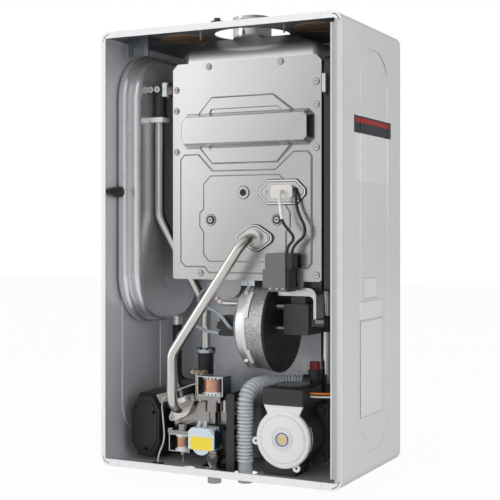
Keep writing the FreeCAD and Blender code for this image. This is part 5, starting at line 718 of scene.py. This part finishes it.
DRAIN_HOSE = ((27, -206, -14), (27, -206, 72), (27, -206, 133), (44, -127, 133), (86.5, -116.4, 133))
HOSE_CUFF = 32.0 * MM
HOSE_CREST = 13.8 * MM
HOSE_ROOT = 11.6 * MM
HOSE_BORE = 10.2 * MM
HOSE_SIDES = 28
HOSE_BORE_STEPS = 60
HOSE_RIBS = 40
# a rib's profile, in shares of its pitch and of its rise
HOSE_RIB = ((0.0, 0.0), (0.14, 0.35), (0.28, 0.9), (0.42, 1.0), (0.56, 0.9), (0.7, 0.35), (0.84, 0.0))


def hose_profile(total):
    """Distance and radius in metres, along the ribs to the far end and back through the bore."""
    profile = [(0.0, HOSE_ROOT), (HOSE_CUFF * 0.5, HOSE_ROOT)]
    pitch = (total - HOSE_CUFF) / HOSE_RIBS
    for rib in range(HOSE_RIBS):
        for share, rise in HOSE_RIB:
            profile.append((HOSE_CUFF + (rib + share) * pitch, HOSE_ROOT + rise * (HOSE_CREST - HOSE_ROOT)))
    profile.append((total, HOSE_ROOT))
    profile += [(total * (1 - k / HOSE_BORE_STEPS), HOSE_BORE) for k in range(HOSE_BORE_STEPS + 1)]
    return profile


def drain_hose():
    """The clear ribbed hose: rings of a rounded rib profile along the smooth line, with its bore."""
    places = line_points(DRAIN_HOSE)
    lengths = [0.0]
    for a, b in zip(places, places[1:]):
        lengths.append(lengths[-1] + (b - a).length)
    total = lengths[-1]

    def at(distance):
        distance = min(max(distance, 0.0), total)
        index = 1
        while index < len(lengths) - 1 and lengths[index] < distance:
            index += 1
        share = (distance - lengths[index - 1]) / (lengths[index] - lengths[index - 1])
        place = places[index - 1].lerp(places[index], share)
        return place, (places[index] - places[index - 1]).normalized()

    mesh = bmesh.new()
    side = Vector((1, 0, 0))
    rings = []
    for distance, radius in hose_profile(total):
        centre, heading = at(distance)
        side = (side - heading * side.dot(heading)).normalized()
        other = heading.cross(side)
        rings.append([
            mesh.verts.new(centre + radius * (side * math.cos(angle) + other * math.sin(angle)))
            for angle in around(HOSE_SIDES)])
    skin(mesh, rings, closed=True)
    place_piece("drain_hose", finished(mesh, "drain_hose"), "hose_clear", replaces=("ribbed_hose",))


MOD_LEFT_X = -64.0
MOD_RIGHT_X = -18.0
MOD_FRONT_Y = -226.0
MOD_LOW_Z = 34.0
MOD_TOP_Z = 67.0
MOD_PINS_X = (-52.5, -41.5)
MOD_PINS_Y = -210.0
MOD_TAG_TILT = math.radians(42)


def modulator_details():
    """The blank yellow label, the blued end frame, the tag and the terminals of the modulator."""
    Build("modulator_label").box(
        MOD_LEFT_X + 4, MOD_FRONT_Y - 0.35, MOD_LOW_Z - 1,
        MOD_RIGHT_X - 3.5, MOD_FRONT_Y, MOD_TOP_Z - 13.5).done("label_yellow", "modulator_plastic", bevel=0.1)
    end = Build("modulator_frame")
    end.box(MOD_RIGHT_X, -224.5, MOD_LOW_Z + 1, MOD_RIGHT_X + 0.8, -198.5, MOD_TOP_Z - 2)
    end.box(MOD_RIGHT_X - 6, -212, 62, MOD_RIGHT_X + 1.5, -205, 69)
    for y, z, radius in ((-207, 62, 3.2), (-202, 38, 3.0)):
        end.rod((MOD_RIGHT_X + 0.5, y, z), (MOD_RIGHT_X + 2, y, z), radius)
    end.done("frame_blue", "coil_frame_zinc")
    tilt = Matrix.Rotation(MOD_TAG_TILT, 4, "Y")
    Build("modulator_tag").box(-27.8, MOD_FRONT_Y - 0.2, 61.4, -15.8, -212, 62.6, tilt).done(
        "tag_brown", "modulator_plastic", bevel=0.2)
    tabs = Build("modulator_terminals")
    for x in MOD_PINS_X:
        tabs.box(x - 3.4, MOD_PINS_Y - 3, MOD_TOP_Z - 0.5, x + 3.4, MOD_PINS_Y + 4, MOD_TOP_Z + 2.5)
        tabs.box(x - 2.4, MOD_PINS_Y - 0.5, MOD_TOP_Z + 2, x + 2.4, MOD_PINS_Y + 0.5, MOD_TOP_Z + 9)
    tabs.done("coil_frame_zinc", bevel=0.25)


UPPER_COIL = (-37.0, -190.0)
UPPER_PLATE_LOW_Z = 108.0
BOLT_HEAD_H = 3.4
# the bolt heads of the valve: x, y, z of the foot, height and radius
VALVE_BOLTS = (
    *((x, y, UPPER_PLATE_LOW_Z - BOLT_HEAD_H, BOLT_HEAD_H, 2.6) for x in (-57, -22) for y in (-200, -180)),
    (-19, -186, 89, 19, 5.2),
    *((x, -207, 57, BOLT_HEAD_H, 3.0) for x in (-106, -70)))
PIN_COUNT = 5
PIN_START_DEG = 235
PIN_STEP_DEG = 17.5
PIN_REACH = 18.8
PIN_ROWS_Z = (142.3, 116.8)
PIN_H = 1.9


def valve_details():
    """Bolt heads and terminal rows of the gas valve."""
    bolts = Build("valve_bolts")
    for x, y, z, height, radius in VALVE_BOLTS:
        bolts.rod((x, y, z), (x, y, z + height), radius)
    bolts.done("fastener_steel")
    rows = Build("valve_terminals")
    for k in range(PIN_COUNT):
        angle = math.radians(PIN_START_DEG + PIN_STEP_DEG * k)
        x = UPPER_COIL[0] + PIN_REACH * math.cos(angle)
        y = UPPER_COIL[1] + PIN_REACH * math.sin(angle)
        for z in PIN_ROWS_Z:
            rows.box(x - 1.2, y - 0.6, z, x + 1.2, y + 0.6, z + PIN_H)
    rows.done("plug_black", bevel=0.1)


FITTING = (-91.0, -120.0)
FITTING_BAR = (-127, -142, 119.5, -94, -133.2, 128.5)
CLIP_R = 16.6
CLIP_STEPS = 9
CLIP_START_DEG = 200
CLIP_SPAN_DEG = 140
CLIP_Z = 173.5
CLIP_H = 5.0
CLIP_TOOTH = 2.2


def fitting_details():
    """The toothed spring clip round the black fitting, and the bar across it."""
    Build("fitting_bar").box(*FITTING_BAR).done("black_plastic", bevel=0.8)
    clip = Build("fitting_clip")
    for k in range(CLIP_STEPS):
        angle = math.radians(CLIP_START_DEG + CLIP_SPAN_DEG * k / (CLIP_STEPS - 1))
        turn = Matrix.Rotation(angle - math.pi / 2, 4, "Z")
        x = FITTING[0] + CLIP_R * math.cos(angle)
        y = FITTING[1] + CLIP_R * math.sin(angle)
        top = CLIP_Z + CLIP_H + CLIP_TOOTH * (k % 2)
        clip.box(x - 3.2, y - 0.5, CLIP_Z, x + 3.2, y + 0.5, top, turn)
    clip.done("coil_frame_zinc", bevel=0.2)


FAN_Y = -136.0
FAN_Z = 225.0
MOTOR_POSTS_X = (59.8, 74.2)
MOTOR_POSTS_Y = (-159, -113)
MOTOR_POSTS_Z = (222, 257)
MOTOR_POST_R = 3.3
# two clips on the blower's bowl, as blocks round its axis: angle in degrees, reach and half thickness
UPPER_CLIP = tuple((46 - 6 * k, 71.9, 0.9) for k in range(6))
LOWER_CLIP = tuple((-32 - 5 * k, 72.2, 1.6) for k in range(4))
SCROLL_CLIP_X = (25.2, 30.6)
SCROLL_CLIP_HALF = 3.9


def fan_details():
    """The motor's posts and the clips on the blower's bowl."""
    posts = Build("motor_posts")
    for y in MOTOR_POSTS_Y:
        for z in MOTOR_POSTS_Z:
            start, end = ((x, y, z) for x in MOTOR_POSTS_X)
            posts.rod(start, end, MOTOR_POST_R)
    posts.done("post_grey", "fastener_steel", bevel=0.4)
    clip = Build("scroll_clip")
    x0, x1 = SCROLL_CLIP_X
    for degrees, reach, half in UPPER_CLIP + LOWER_CLIP:
        angle = math.radians(degrees)
        turn = Matrix.Rotation(-angle, 4, "X")
        y, z = FAN_Y - reach * math.cos(angle), FAN_Z + reach * math.sin(angle)
        clip.box(x0, y - half, z - SCROLL_CLIP_HALF, x1, y + half, z + SCROLL_CLIP_HALF, turn)
    clip.done("white_plastic", "bobbin_white")


SAMPLE_END = Vector((-44.8, -150, 258.5))
SAMPLE_TILT = math.radians(41)
SAMPLE_STRIPE_AT = 8.5
SAMPLE_HEAD_R = 3.8
SWITCH_TAG = (-36.5, -181, 219, -30.2, -176.5, 231)
SWITCH_TAG_FOOT = (-39, -180, 221, -36.3, -177.5, 224)
SWITCH_LID = (-28.5, -183.6, 214, -12, -182.9, 236)


def switch_details():
    """The stripe on the sampling pipe's head, and the pressure switch's tag and lid."""
    away = Vector((-math.cos(SAMPLE_TILT), 0, math.sin(SAMPLE_TILT)))
    Build("plug_stripe").ring(
        SAMPLE_END + away * SAMPLE_STRIPE_AT, away, SAMPLE_HEAD_R + 0.25, SAMPLE_HEAD_R - 0.1, 2.2).done(
            "red_plastic", "bobbin_white", bevel=0.1)
    Build("switch_tag").box(*SWITCH_TAG).box(*SWITCH_TAG_FOOT).done("black_plastic", bevel=0.5)
    Build("switch_lid").box(*SWITCH_LID).done("black_plastic", bevel=0.2)


BRACKET_PLUG = (121.5, -166, 228, 143, -150, 240)
BRACKET_PLUG_LABEL = (128, -166.3, 233, 142, -166, 238.5)


def bracket_details():
    Build("bracket_plug").box(*BRACKET_PLUG).done("black_plastic", bevel=0.6)
    Build("bracket_plug_label").box(*BRACKET_PLUG_LABEL).done("label_grey", "black_plastic", bevel=0.1)


# the front plate and what is on it, with places as shares of its width and height
PLATE_CORNER = (-122.0, 298.0)
PLATE_SIZE = (264.0, 350.0)
PLATE_BACK_Y = -172.0
PLATE_FACE_Y = -175.0
INNER_FACE_Y = -177.2
ELECTRODE_FACE_Y = -179.2
BURNER_FACE_Y = -183.2
SCREW_SHARES = (
    (0.254, 0.98), (0.739, 0.98), (0.97, 0.88), (0.97, 0.78), (0.97, 0.591), (0.027, 0.88),
    (0.027, 0.783), (0.027, 0.591), (0.197, 0.029), (0.97, 0.029))
BOLT_SHARES = ((0.273, 0.274), (0.72, 0.274))
# the rims of the pressed fields, in a darker steel that paints the shade lines along their edges: how far
# they stand out, the rim's radius and its corners
BEADS = (
    (15.9, 0.6, (
        (0.127, 0.624), (0.902, 0.624), (0.931, 0.646), (0.931, 0.723), (0.902, 0.745), (0.127, 0.745),
        (0.096, 0.723), (0.096, 0.646), (0.127, 0.624))),
    (0.0, 1.0, (
        (0.106, 0.606), (0.921, 0.606), (0.955, 0.632), (0.955, 0.737), (0.921, 0.763), (0.106, 0.763),
        (0.072, 0.737), (0.072, 0.632), (0.106, 0.606))),
    (1.8, 0.9, ((0.186, 0.763), (0.277, 0.837), (0.689, 0.837), (0.822, 0.763))),
    (1.8, 0.7, ((0.262, 0.767), (0.273, 0.783), (0.72, 0.783), (0.745, 0.767))),
    (1.8, 0.7, ((0.193, 0.605), (0.28, 0.532), (0.715, 0.532), (0.811, 0.605))),
    (1.2, 0.9, (
        (0.057, 0.554), (0.083, 0.577), (0.182, 0.577), (0.28, 0.5), (0.705, 0.5), (0.822, 0.577),
        (0.913, 0.577), (0.939, 0.554), (0.939, 0.08), (0.913, 0.057), (0.855, 0.057), (0.79, 0.031),
        (0.254, 0.031), (0.226, 0.057), (0.091, 0.057), (0.057, 0.08), (0.057, 0.554))),
    (2.2, 0.7, (
        (0.269, 0.477), (0.727, 0.477), (0.765, 0.451), (0.777, 0.334), (0.803, 0.306), (0.803, 0.24),
        (0.777, 0.22), (0.777, 0.114), (0.746, 0.083), (0.258, 0.083), (0.22, 0.114), (0.22, 0.217),
        (0.193, 0.246), (0.193, 0.306), (0.22, 0.326), (0.22, 0.44), (0.269, 0.477))))
BEAD_SINK = 0.35


def on_plate(shares):
    """X and Z of a place given by shares of the front plate's width and height."""
    return tuple(start + share * size for start, share, size in zip(PLATE_CORNER, shares, PLATE_SIZE))


def plate_beads():
    """The rounded rims of the pressed fields of the front plate, darker than the plate to paint shade lines
    along the fields' edges.
    """
    for number, (rise, radius, corners) in enumerate(BEADS):
        places = map(on_plate, corners)
        line = [(x, PLATE_FACE_Y - rise + BEAD_SINK, z) for x, z in places]
        tube(f"plate_bead_{number}", (line,), radius, "bead_painted_shade", smooth=False, roundness=4)


ALONG_Y = (0, 1, 0)
WINDOW = (8.9, 437.0)
WINDOW_R = 9.7
SCREW_HEAD_OUT = 3.0
BOLT_OUT = 4.0
BURNER_MIDDLE = (30.06, 364.85)
BURNER_MIDDLE_R = 21.0
BURNER_EAR_REACH = 22.0
BURNER_EAR_R = 9.0
ELECTRODE_MIDDLE = (77.06, 436.95)
ELECTRODE_HALF = (39.5, 19.0)
ELECTRODE_CUT = 15.0
CUT_SHARE = 0.59


def burner_plate(build, margin, y0, y1):
    """The burner flange's outline, moved outwards by a margin."""
    x, z = BURNER_MIDDLE
    ears = [(x + side * BURNER_EAR_REACH, z, BURNER_EAR_R + margin) for side in (1, -1)]
    build.hull([(x, z, BURNER_MIDDLE_R + margin), *ears], y0, y1)


def electrode_plate(build, margin, y0, y1):
    """The electrode flange's eight-cornered outline, moved outwards by a margin."""
    x, z = ELECTRODE_MIDDLE
    w, h = ELECTRODE_HALF[0] + margin, ELECTRODE_HALF[1] + margin
    cut = ELECTRODE_CUT + CUT_SHARE * margin
    corners = [
        (x + sx * a, z + sz * b, 0.1)
        for sx in (-1, 1) for sz in (-1, 1) for a, b in ((w, h - cut), (w - cut, h))]
    build.hull(corners, y0, y1, sides=4)


def plate_details():
    """Black rings as painted shade under rings, flanges and screws, black lines as painted shade round the
    flanges' faces, and the faces.
    """
    # painted shade: thin black rubber rings, lines and dots where the recesses and joints fall dark
    shade_marks = Build("plate_painted_shade")
    shade_marks.ring((WINDOW[0], INNER_FACE_Y - 0.25, WINDOW[1]), ALONG_Y, WINDOW_R + 1, WINDOW_R - 0.5, 0.5)
    for x, z in map(on_plate, SCREW_SHARES):
        shade_marks.ring((x, PLATE_FACE_Y - 0.2, z), ALONG_Y, 5.4, 4.3, 0.4)
        front = PLATE_FACE_Y - SCREW_HEAD_OUT
        shade_marks.rod((x, front - 0.3, z), (x, front + 0.1, z), 1.2, sides=6)
    for x, z in map(on_plate, BOLT_SHARES):
        shade_marks.ring((x, INNER_FACE_Y - 0.25, z), ALONG_Y, 9.5, 8.0, 0.5)
        shade_marks.ring((x, INNER_FACE_Y - 1.15, z), ALONG_Y, 6.9, 4.6, 0.3)
        front = INNER_FACE_Y - BOLT_OUT
        shade_marks.rod((x, front - 0.3, z), (x, front + 0.1, z), 1.5, sides=6)
    burner_plate(shade_marks, 1.2, INNER_FACE_Y - 0.6, INNER_FACE_Y)
    electrode_plate(shade_marks, 1.3, INNER_FACE_Y - 0.6, INNER_FACE_Y)
    electrode_plate(shade_marks, -2.6, ELECTRODE_FACE_Y - 0.3, ELECTRODE_FACE_Y)
    burner_plate(shade_marks, -2.2, BURNER_FACE_Y - 0.15, BURNER_FACE_Y + 0.2)
    shade_marks.done("black_rubber", bevel=0.05)
    faces = Build("burner_face")
    burner_plate(faces, -3.3, BURNER_FACE_Y - 0.4, BURNER_FACE_Y + 0.2)
    electrode_plate(faces, -3.6, ELECTRODE_FACE_Y - 0.5, ELECTRODE_FACE_Y)
    faces.done("fastener_steel", bevel=0.2)


PLATE_TABS_X = ((2, 26), (84, 110))
PLATE_TAB_Z = (289, 299)
PLATE_TAB_T = 1.6


def tab_details():
    """The tabs under the plate with their screws."""
    tabs = Build("plate_tabs")
    for x0, x1 in PLATE_TABS_X:
        tabs.box(x0, PLATE_BACK_Y, PLATE_TAB_Z[0], x1, PLATE_BACK_Y + PLATE_TAB_T, PLATE_TAB_Z[1])
        tabs.rod((x0 + 9, PLATE_BACK_Y - 1.6, 293), (x0 + 9, PLATE_BACK_Y, 293), 3.2)
    tabs.done("coil_frame_zinc")


TERMINALS_X = (68, 79, 89)
TERMINAL_W = 4


def transformer_details():
    terminals = Build("transformer_terminals")
    for x in TERMINALS_X:
        terminals.box(x, -207, 286.4, x + TERMINAL_W, -199, 290.5)
    terminals.done("stub_brass", bevel=0.4)


# the hood's outline from its foot up: x0, y0, x1, y1 and z
HOOD_SECTIONS = (
    (-100, -173.8, 134, -33, 643.2), (-100, -173.8, 134, -33, 660), (-98.5, -172, 132, -35, 666),
    (-94, -168, 126, -39, 670.5), (-66, -154, 88, -60, 684.8), (-62, -152, 82, -64, 686))
HOOD_CORNER_R = 9.0
KNOCKOUTS_X = (-110, 130)
KNOCKOUT_Y = -153
KNOCKOUT_Z = 692.2
KNOCKOUT_R = 33.2
STUDS = ((-62, -190), (86, -190), (-45, -80), (60, -80))
FLUE = (5, -138)
CONTROL_PLUG = (159.2, -214, 584, 164.8, -209, 612)


def top_details():
    """The flue hood, the knock-outs' fills, the ceiling's studs, the flue's seal and the control plug."""
    Build("hood").loft(HOOD_SECTIONS, HOOD_CORNER_R).done(
        "flue_hood", "exchanger_steel", bevel=1.5, replaces=("flue_hood",))
    fills = Build("knockout_fills")
    for x in KNOCKOUTS_X:
        fills.rod((x, KNOCKOUT_Y, KNOCKOUT_Z), (x, KNOCKOUT_Y, KNOCKOUT_Z + 1), KNOCKOUT_R, sides=64)
    fills.done("gasket_rubber", bevel=0.1)
    studs = Build("ceiling_studs")
    for x, y in STUDS:
        studs.rod((x, y, 682), (x, y, 694), 1.5).rod((x, y, 691), (x, y, 693.8), 3.2, sides=6)
    studs.done("fastener_steel", bevel=0.2)
    Build("flue_seal").ring((*FLUE, 709.5), (0, 0, 1), 32.4, 31.05, 3.2, 72).done("black_rubber", bevel=0.4)
    Build("control_plug").box(*CONTROL_PLUG).done("white_plastic", "bobbin_white", bevel=0.6)


ELBOW_Y = -163.0
ELBOW_Z = 609.0
PROBES_X = (-161, -148.5)
PROBE_FRONT_Y = -182.2
SPRING_X = -134.0
SPRING_L = 9.0
SPRING_R = 11.5
SPRING_WIRE_R = 0.9
SPRING_TURNS = 4
SPRING_STEPS = 18


def elbow_details():
    """The probes' faces, the copper stub and its spring at the flow elbow."""
    probes = Build("probe_faces")
    for x in PROBES_X:
        probes.ring((x, PROBE_FRONT_Y, ELBOW_Z), ALONG_Y, 5.3, 2.2, 1.2)
        probes.rod((x, PROBE_FRONT_Y - 0.2, ELBOW_Z), (x, PROBE_FRONT_Y + 0.7, ELBOW_Z), 1.2)
    probes.done("post_grey", "fastener_steel")
    Build("copper_stub").rod((-131, ELBOW_Y, ELBOW_Z), (-123.5, ELBOW_Y, ELBOW_Z), 9.0).done(
        "copper_tube", "copper_wire", bevel=0.5)
    line = []
    for k in range(SPRING_TURNS * SPRING_STEPS + 1):
        angle = 2 * math.pi * k / SPRING_STEPS
        line.append((
            SPRING_X + SPRING_L * k / (SPRING_TURNS * SPRING_STEPS),
            ELBOW_Y + SPRING_R * math.cos(angle), ELBOW_Z + SPRING_R * math.sin(angle)))
    tube("outlet_spring", (line,), SPRING_WIRE_R, "spring_wire",
         smooth=False, roundness=3, caps=False)


DRIVE_SLOPE = math.atan2(24, 15)
DRIVE_LABEL = (-146, -194, 102.1, -131, -160, 102.5)
RETURN_PIPE = (114, -90)
# the rubber collar on the return pipe and its thicker band: two heights and a radius
COLLAR_RODS = ((214, 240, 11.5), (222, 232, 13.0))


def low_pipe_details():
    """The blank label on the diverter's drive and the rubber collar on the return pipe."""
    slope = Matrix.Rotation(DRIVE_SLOPE, 4, "Y")
    Build("drive_label").box(*DRIVE_LABEL, slope).done("label_white", "drive_plastic", bevel=0.1)
    collar = Build("return_collar")
    for low, high, radius in COLLAR_RODS:
        collar.rod((*RETURN_PIPE, low), (*RETURN_PIPE, high), radius)
    collar.done("black_rubber", bevel=1.0)


ORANGE_PLUG = (40, -166, 107, 61.8, -156, 115)
ORANGE_PLUG_NECK = (36, -164, 108.5, 40.5, -158, 113.5)
PUMP_X = 96.0
PUMP_Z = 60.0
PUMP_FACE_Y = -218.05
VENT_RING_Y = -219.8
DIAL_Y = -177.0
DIAL_R = 25.6
DIAL_TOP_Z = (139.8, 140.2)
FACE_RINGS_R = (36.5, 17.5, 14.5)


def pump_details():
    """The orange plug, the dial's top, the vent plug's ring, and the rings and arc on the pump's face."""
    Build("orange_plug").box(*ORANGE_PLUG).box(*ORANGE_PLUG_NECK).done(
        "orange_plastic", "lead_wire", bevel=0.5)
    low, high = ((PUMP_X, DIAL_Y, z) for z in DIAL_TOP_Z)
    Build("dial_top").rod(low, high, DIAL_R, sides=64).done(
        "label_grey", "black_plastic", body="speed_knob", bevel=0.15)
    Build("vent_blue_ring").ring((PUMP_X, VENT_RING_Y, PUMP_Z), ALONG_Y, 10.7, 9.0, 0.7).done(
        "blue_ring", "pump_white", bevel=0.1)
    marks = Build("pump_face_rings")
    for radius in FACE_RINGS_R:
        marks.ring((PUMP_X, PUMP_FACE_Y, PUMP_Z), ALONG_Y, radius, radius - 0.5, 0.3, 72)
    marks.done("print_grey", "pump_white", bevel=0)
    Build("pump_arc").arc(PUMP_X, PUMP_Z, -201.5, -198.5, 41.8, 42.7, -26, 26).done(
        "label_white", "pump_white", bevel=0.1)


# nodes that don't wear the look of their material slot
NODE_LOOKS = {
    "ignition_transformer": "transformer_grey",
    "top_cap": "cap_brown",
    "tank_bracket": "bracket_blue",
    "solenoid_frames": "frame_zinc",
}


def dress_nodes():
    slot_of = {part["node"]: part["material_slot"] for part in frame["record"]["subparts"]}
    for name, obj in nodes.items():
        obj.data.materials.clear()
        obj.data.materials.append(LOOKS[NODE_LOOKS.get(name, slot_of[name])].material)


BRIGHT_SIDE = Vector((-0.72, -0.5, 0.48)).normalized()
DIFFUSE_LIGHT = 0.42


def set_world():
    """White behind the object and through glass, a soft studio in gloss and plain light elsewhere."""
    world = bpy.data.worlds.new("studio")
    bpy.context.scene.world = world
    world.use_nodes = True
    tree = Tree(world.node_tree)
    ray = tree.add("ShaderNodeLightPath").outputs
    place = tree.add("ShaderNodeTexCoord")
    studio = tree.spread(tree.dot(place.outputs["Generated"], BRIGHT_SIDE), 0.2, 1.0, -0.15, 0.95)
    white = tree.math("MAXIMUM", ray["Is Camera Ray"], ray["Is Transmission Ray"])
    gloss = tree.math("MULTIPLY", ray["Is Glossy Ray"], studio)
    diffuse = tree.math("MULTIPLY", ray["Is Diffuse Ray"], DIFFUSE_LIGHT)
    back = world.node_tree.nodes["Background"]
    back.inputs["Color"].default_value = (1, 1, 1, 1)
    tree.link(tree.math("MAXIMUM", tree.math("MAXIMUM", white, gloss), diffuse), back.inputs["Strength"])


# name, place, aim, width and height, watts, and whether gloss shows it
LAMPS = (
    ("key", (-1.7, -3.2, 0.5), (0, -0.1, 0.3), (2.8, 2.4), 38, False),
    ("fill", (2.7, -1.3, 0.8), (0, -0.1, 0.35), (2.0, 2.0), 34, False),
    ("strip", (-2.1, -1.9, 0.8), (0, -0.1, 0.3), (0.6, 2.4), 10, True),
    ("low", (0.2, -2.6, 0.15), (0, -0.1, 0.15), (2.4, 0.8), 28, False))


def set_lamps():
    for name, place, aim, size, power, in_gloss in LAMPS:
        data = bpy.data.lights.new(name, "AREA")
        data.shape = "RECTANGLE"
        data.size, data.size_y = size
        data.energy = power
        lamp = add_object(name, data)
        lamp.visible_glossy = in_gloss
        lamp.location = place
        lamp.rotation_euler = (Vector(aim) - Vector(place)).to_track_quat("-Z", "Y").to_euler()


FLOOR_Z = -0.024
FLOOR_HALF = 6.0
FLOOR_GREY = (0.38, 0.38, 0.38)
FLOOR_PALE = (0.9, 0.9, 0.9)
# how far the floor glows white for each kind of ray
FLOOR_GLOW = (("Is Camera Ray", 0.96), ("Is Glossy Ray", 0.7), ("Is Transmission Ray", 0.9))


def set_floor():
    """A pale floor that glows white for the camera, in gloss and through glass, and keeps a soft shadow."""
    mesh = bpy.data.meshes.new("floor")
    sides = ((-1, -1), (1, -1), (1, 1), (-1, 1))
    mesh.from_pydata([(x * FLOOR_HALF, y * FLOOR_HALF, FLOOR_Z) for x, y in sides], [], [(0, 1, 2, 3)])
    floor = add_object("floor", mesh)
    m = Shader("floor", FLOOR_PALE, 0.9, Specular_IOR_Level=0.0)
    ray = m.add("ShaderNodeLightPath").outputs
    m.paint(m.mix(ray["Is Camera Ray"], FLOOR_GREY, FLOOR_PALE))
    glowing = 0.0
    for kind, share in FLOOR_GLOW:
        glowing = m.math("MAXIMUM", glowing, m.math("MULTIPLY", ray[kind], share))
    glow = m.add("ShaderNodeEmission")
    glow.inputs["Strength"].default_value = 1.0
    mixed = m.add("ShaderNodeMixShader")
    for socket, source in ((0, glowing), (1, m.bsdf.outputs["BSDF"]), (2, glow.outputs["Emission"])):
        m.link(source, mixed.inputs[socket])
    m.link(mixed.outputs["Shader"], m.tree.nodes["Material Output"].inputs["Surface"])
    mesh.materials.append(m.material)


set_camera()
dress_nodes()
soft_pieces()
modulator_details()
valve_details()
fitting_details()
fan_details()
switch_details()
tab_details()
bracket_details()
plate_details()
transformer_details()
top_details()
plate_beads()
elbow_details()
low_pipe_details()
pump_details()
set_world()
set_lamps()
set_floor()
bpy.context.scene.view_settings.view_transform = "Standard"
bpy.context.view_layer.update()
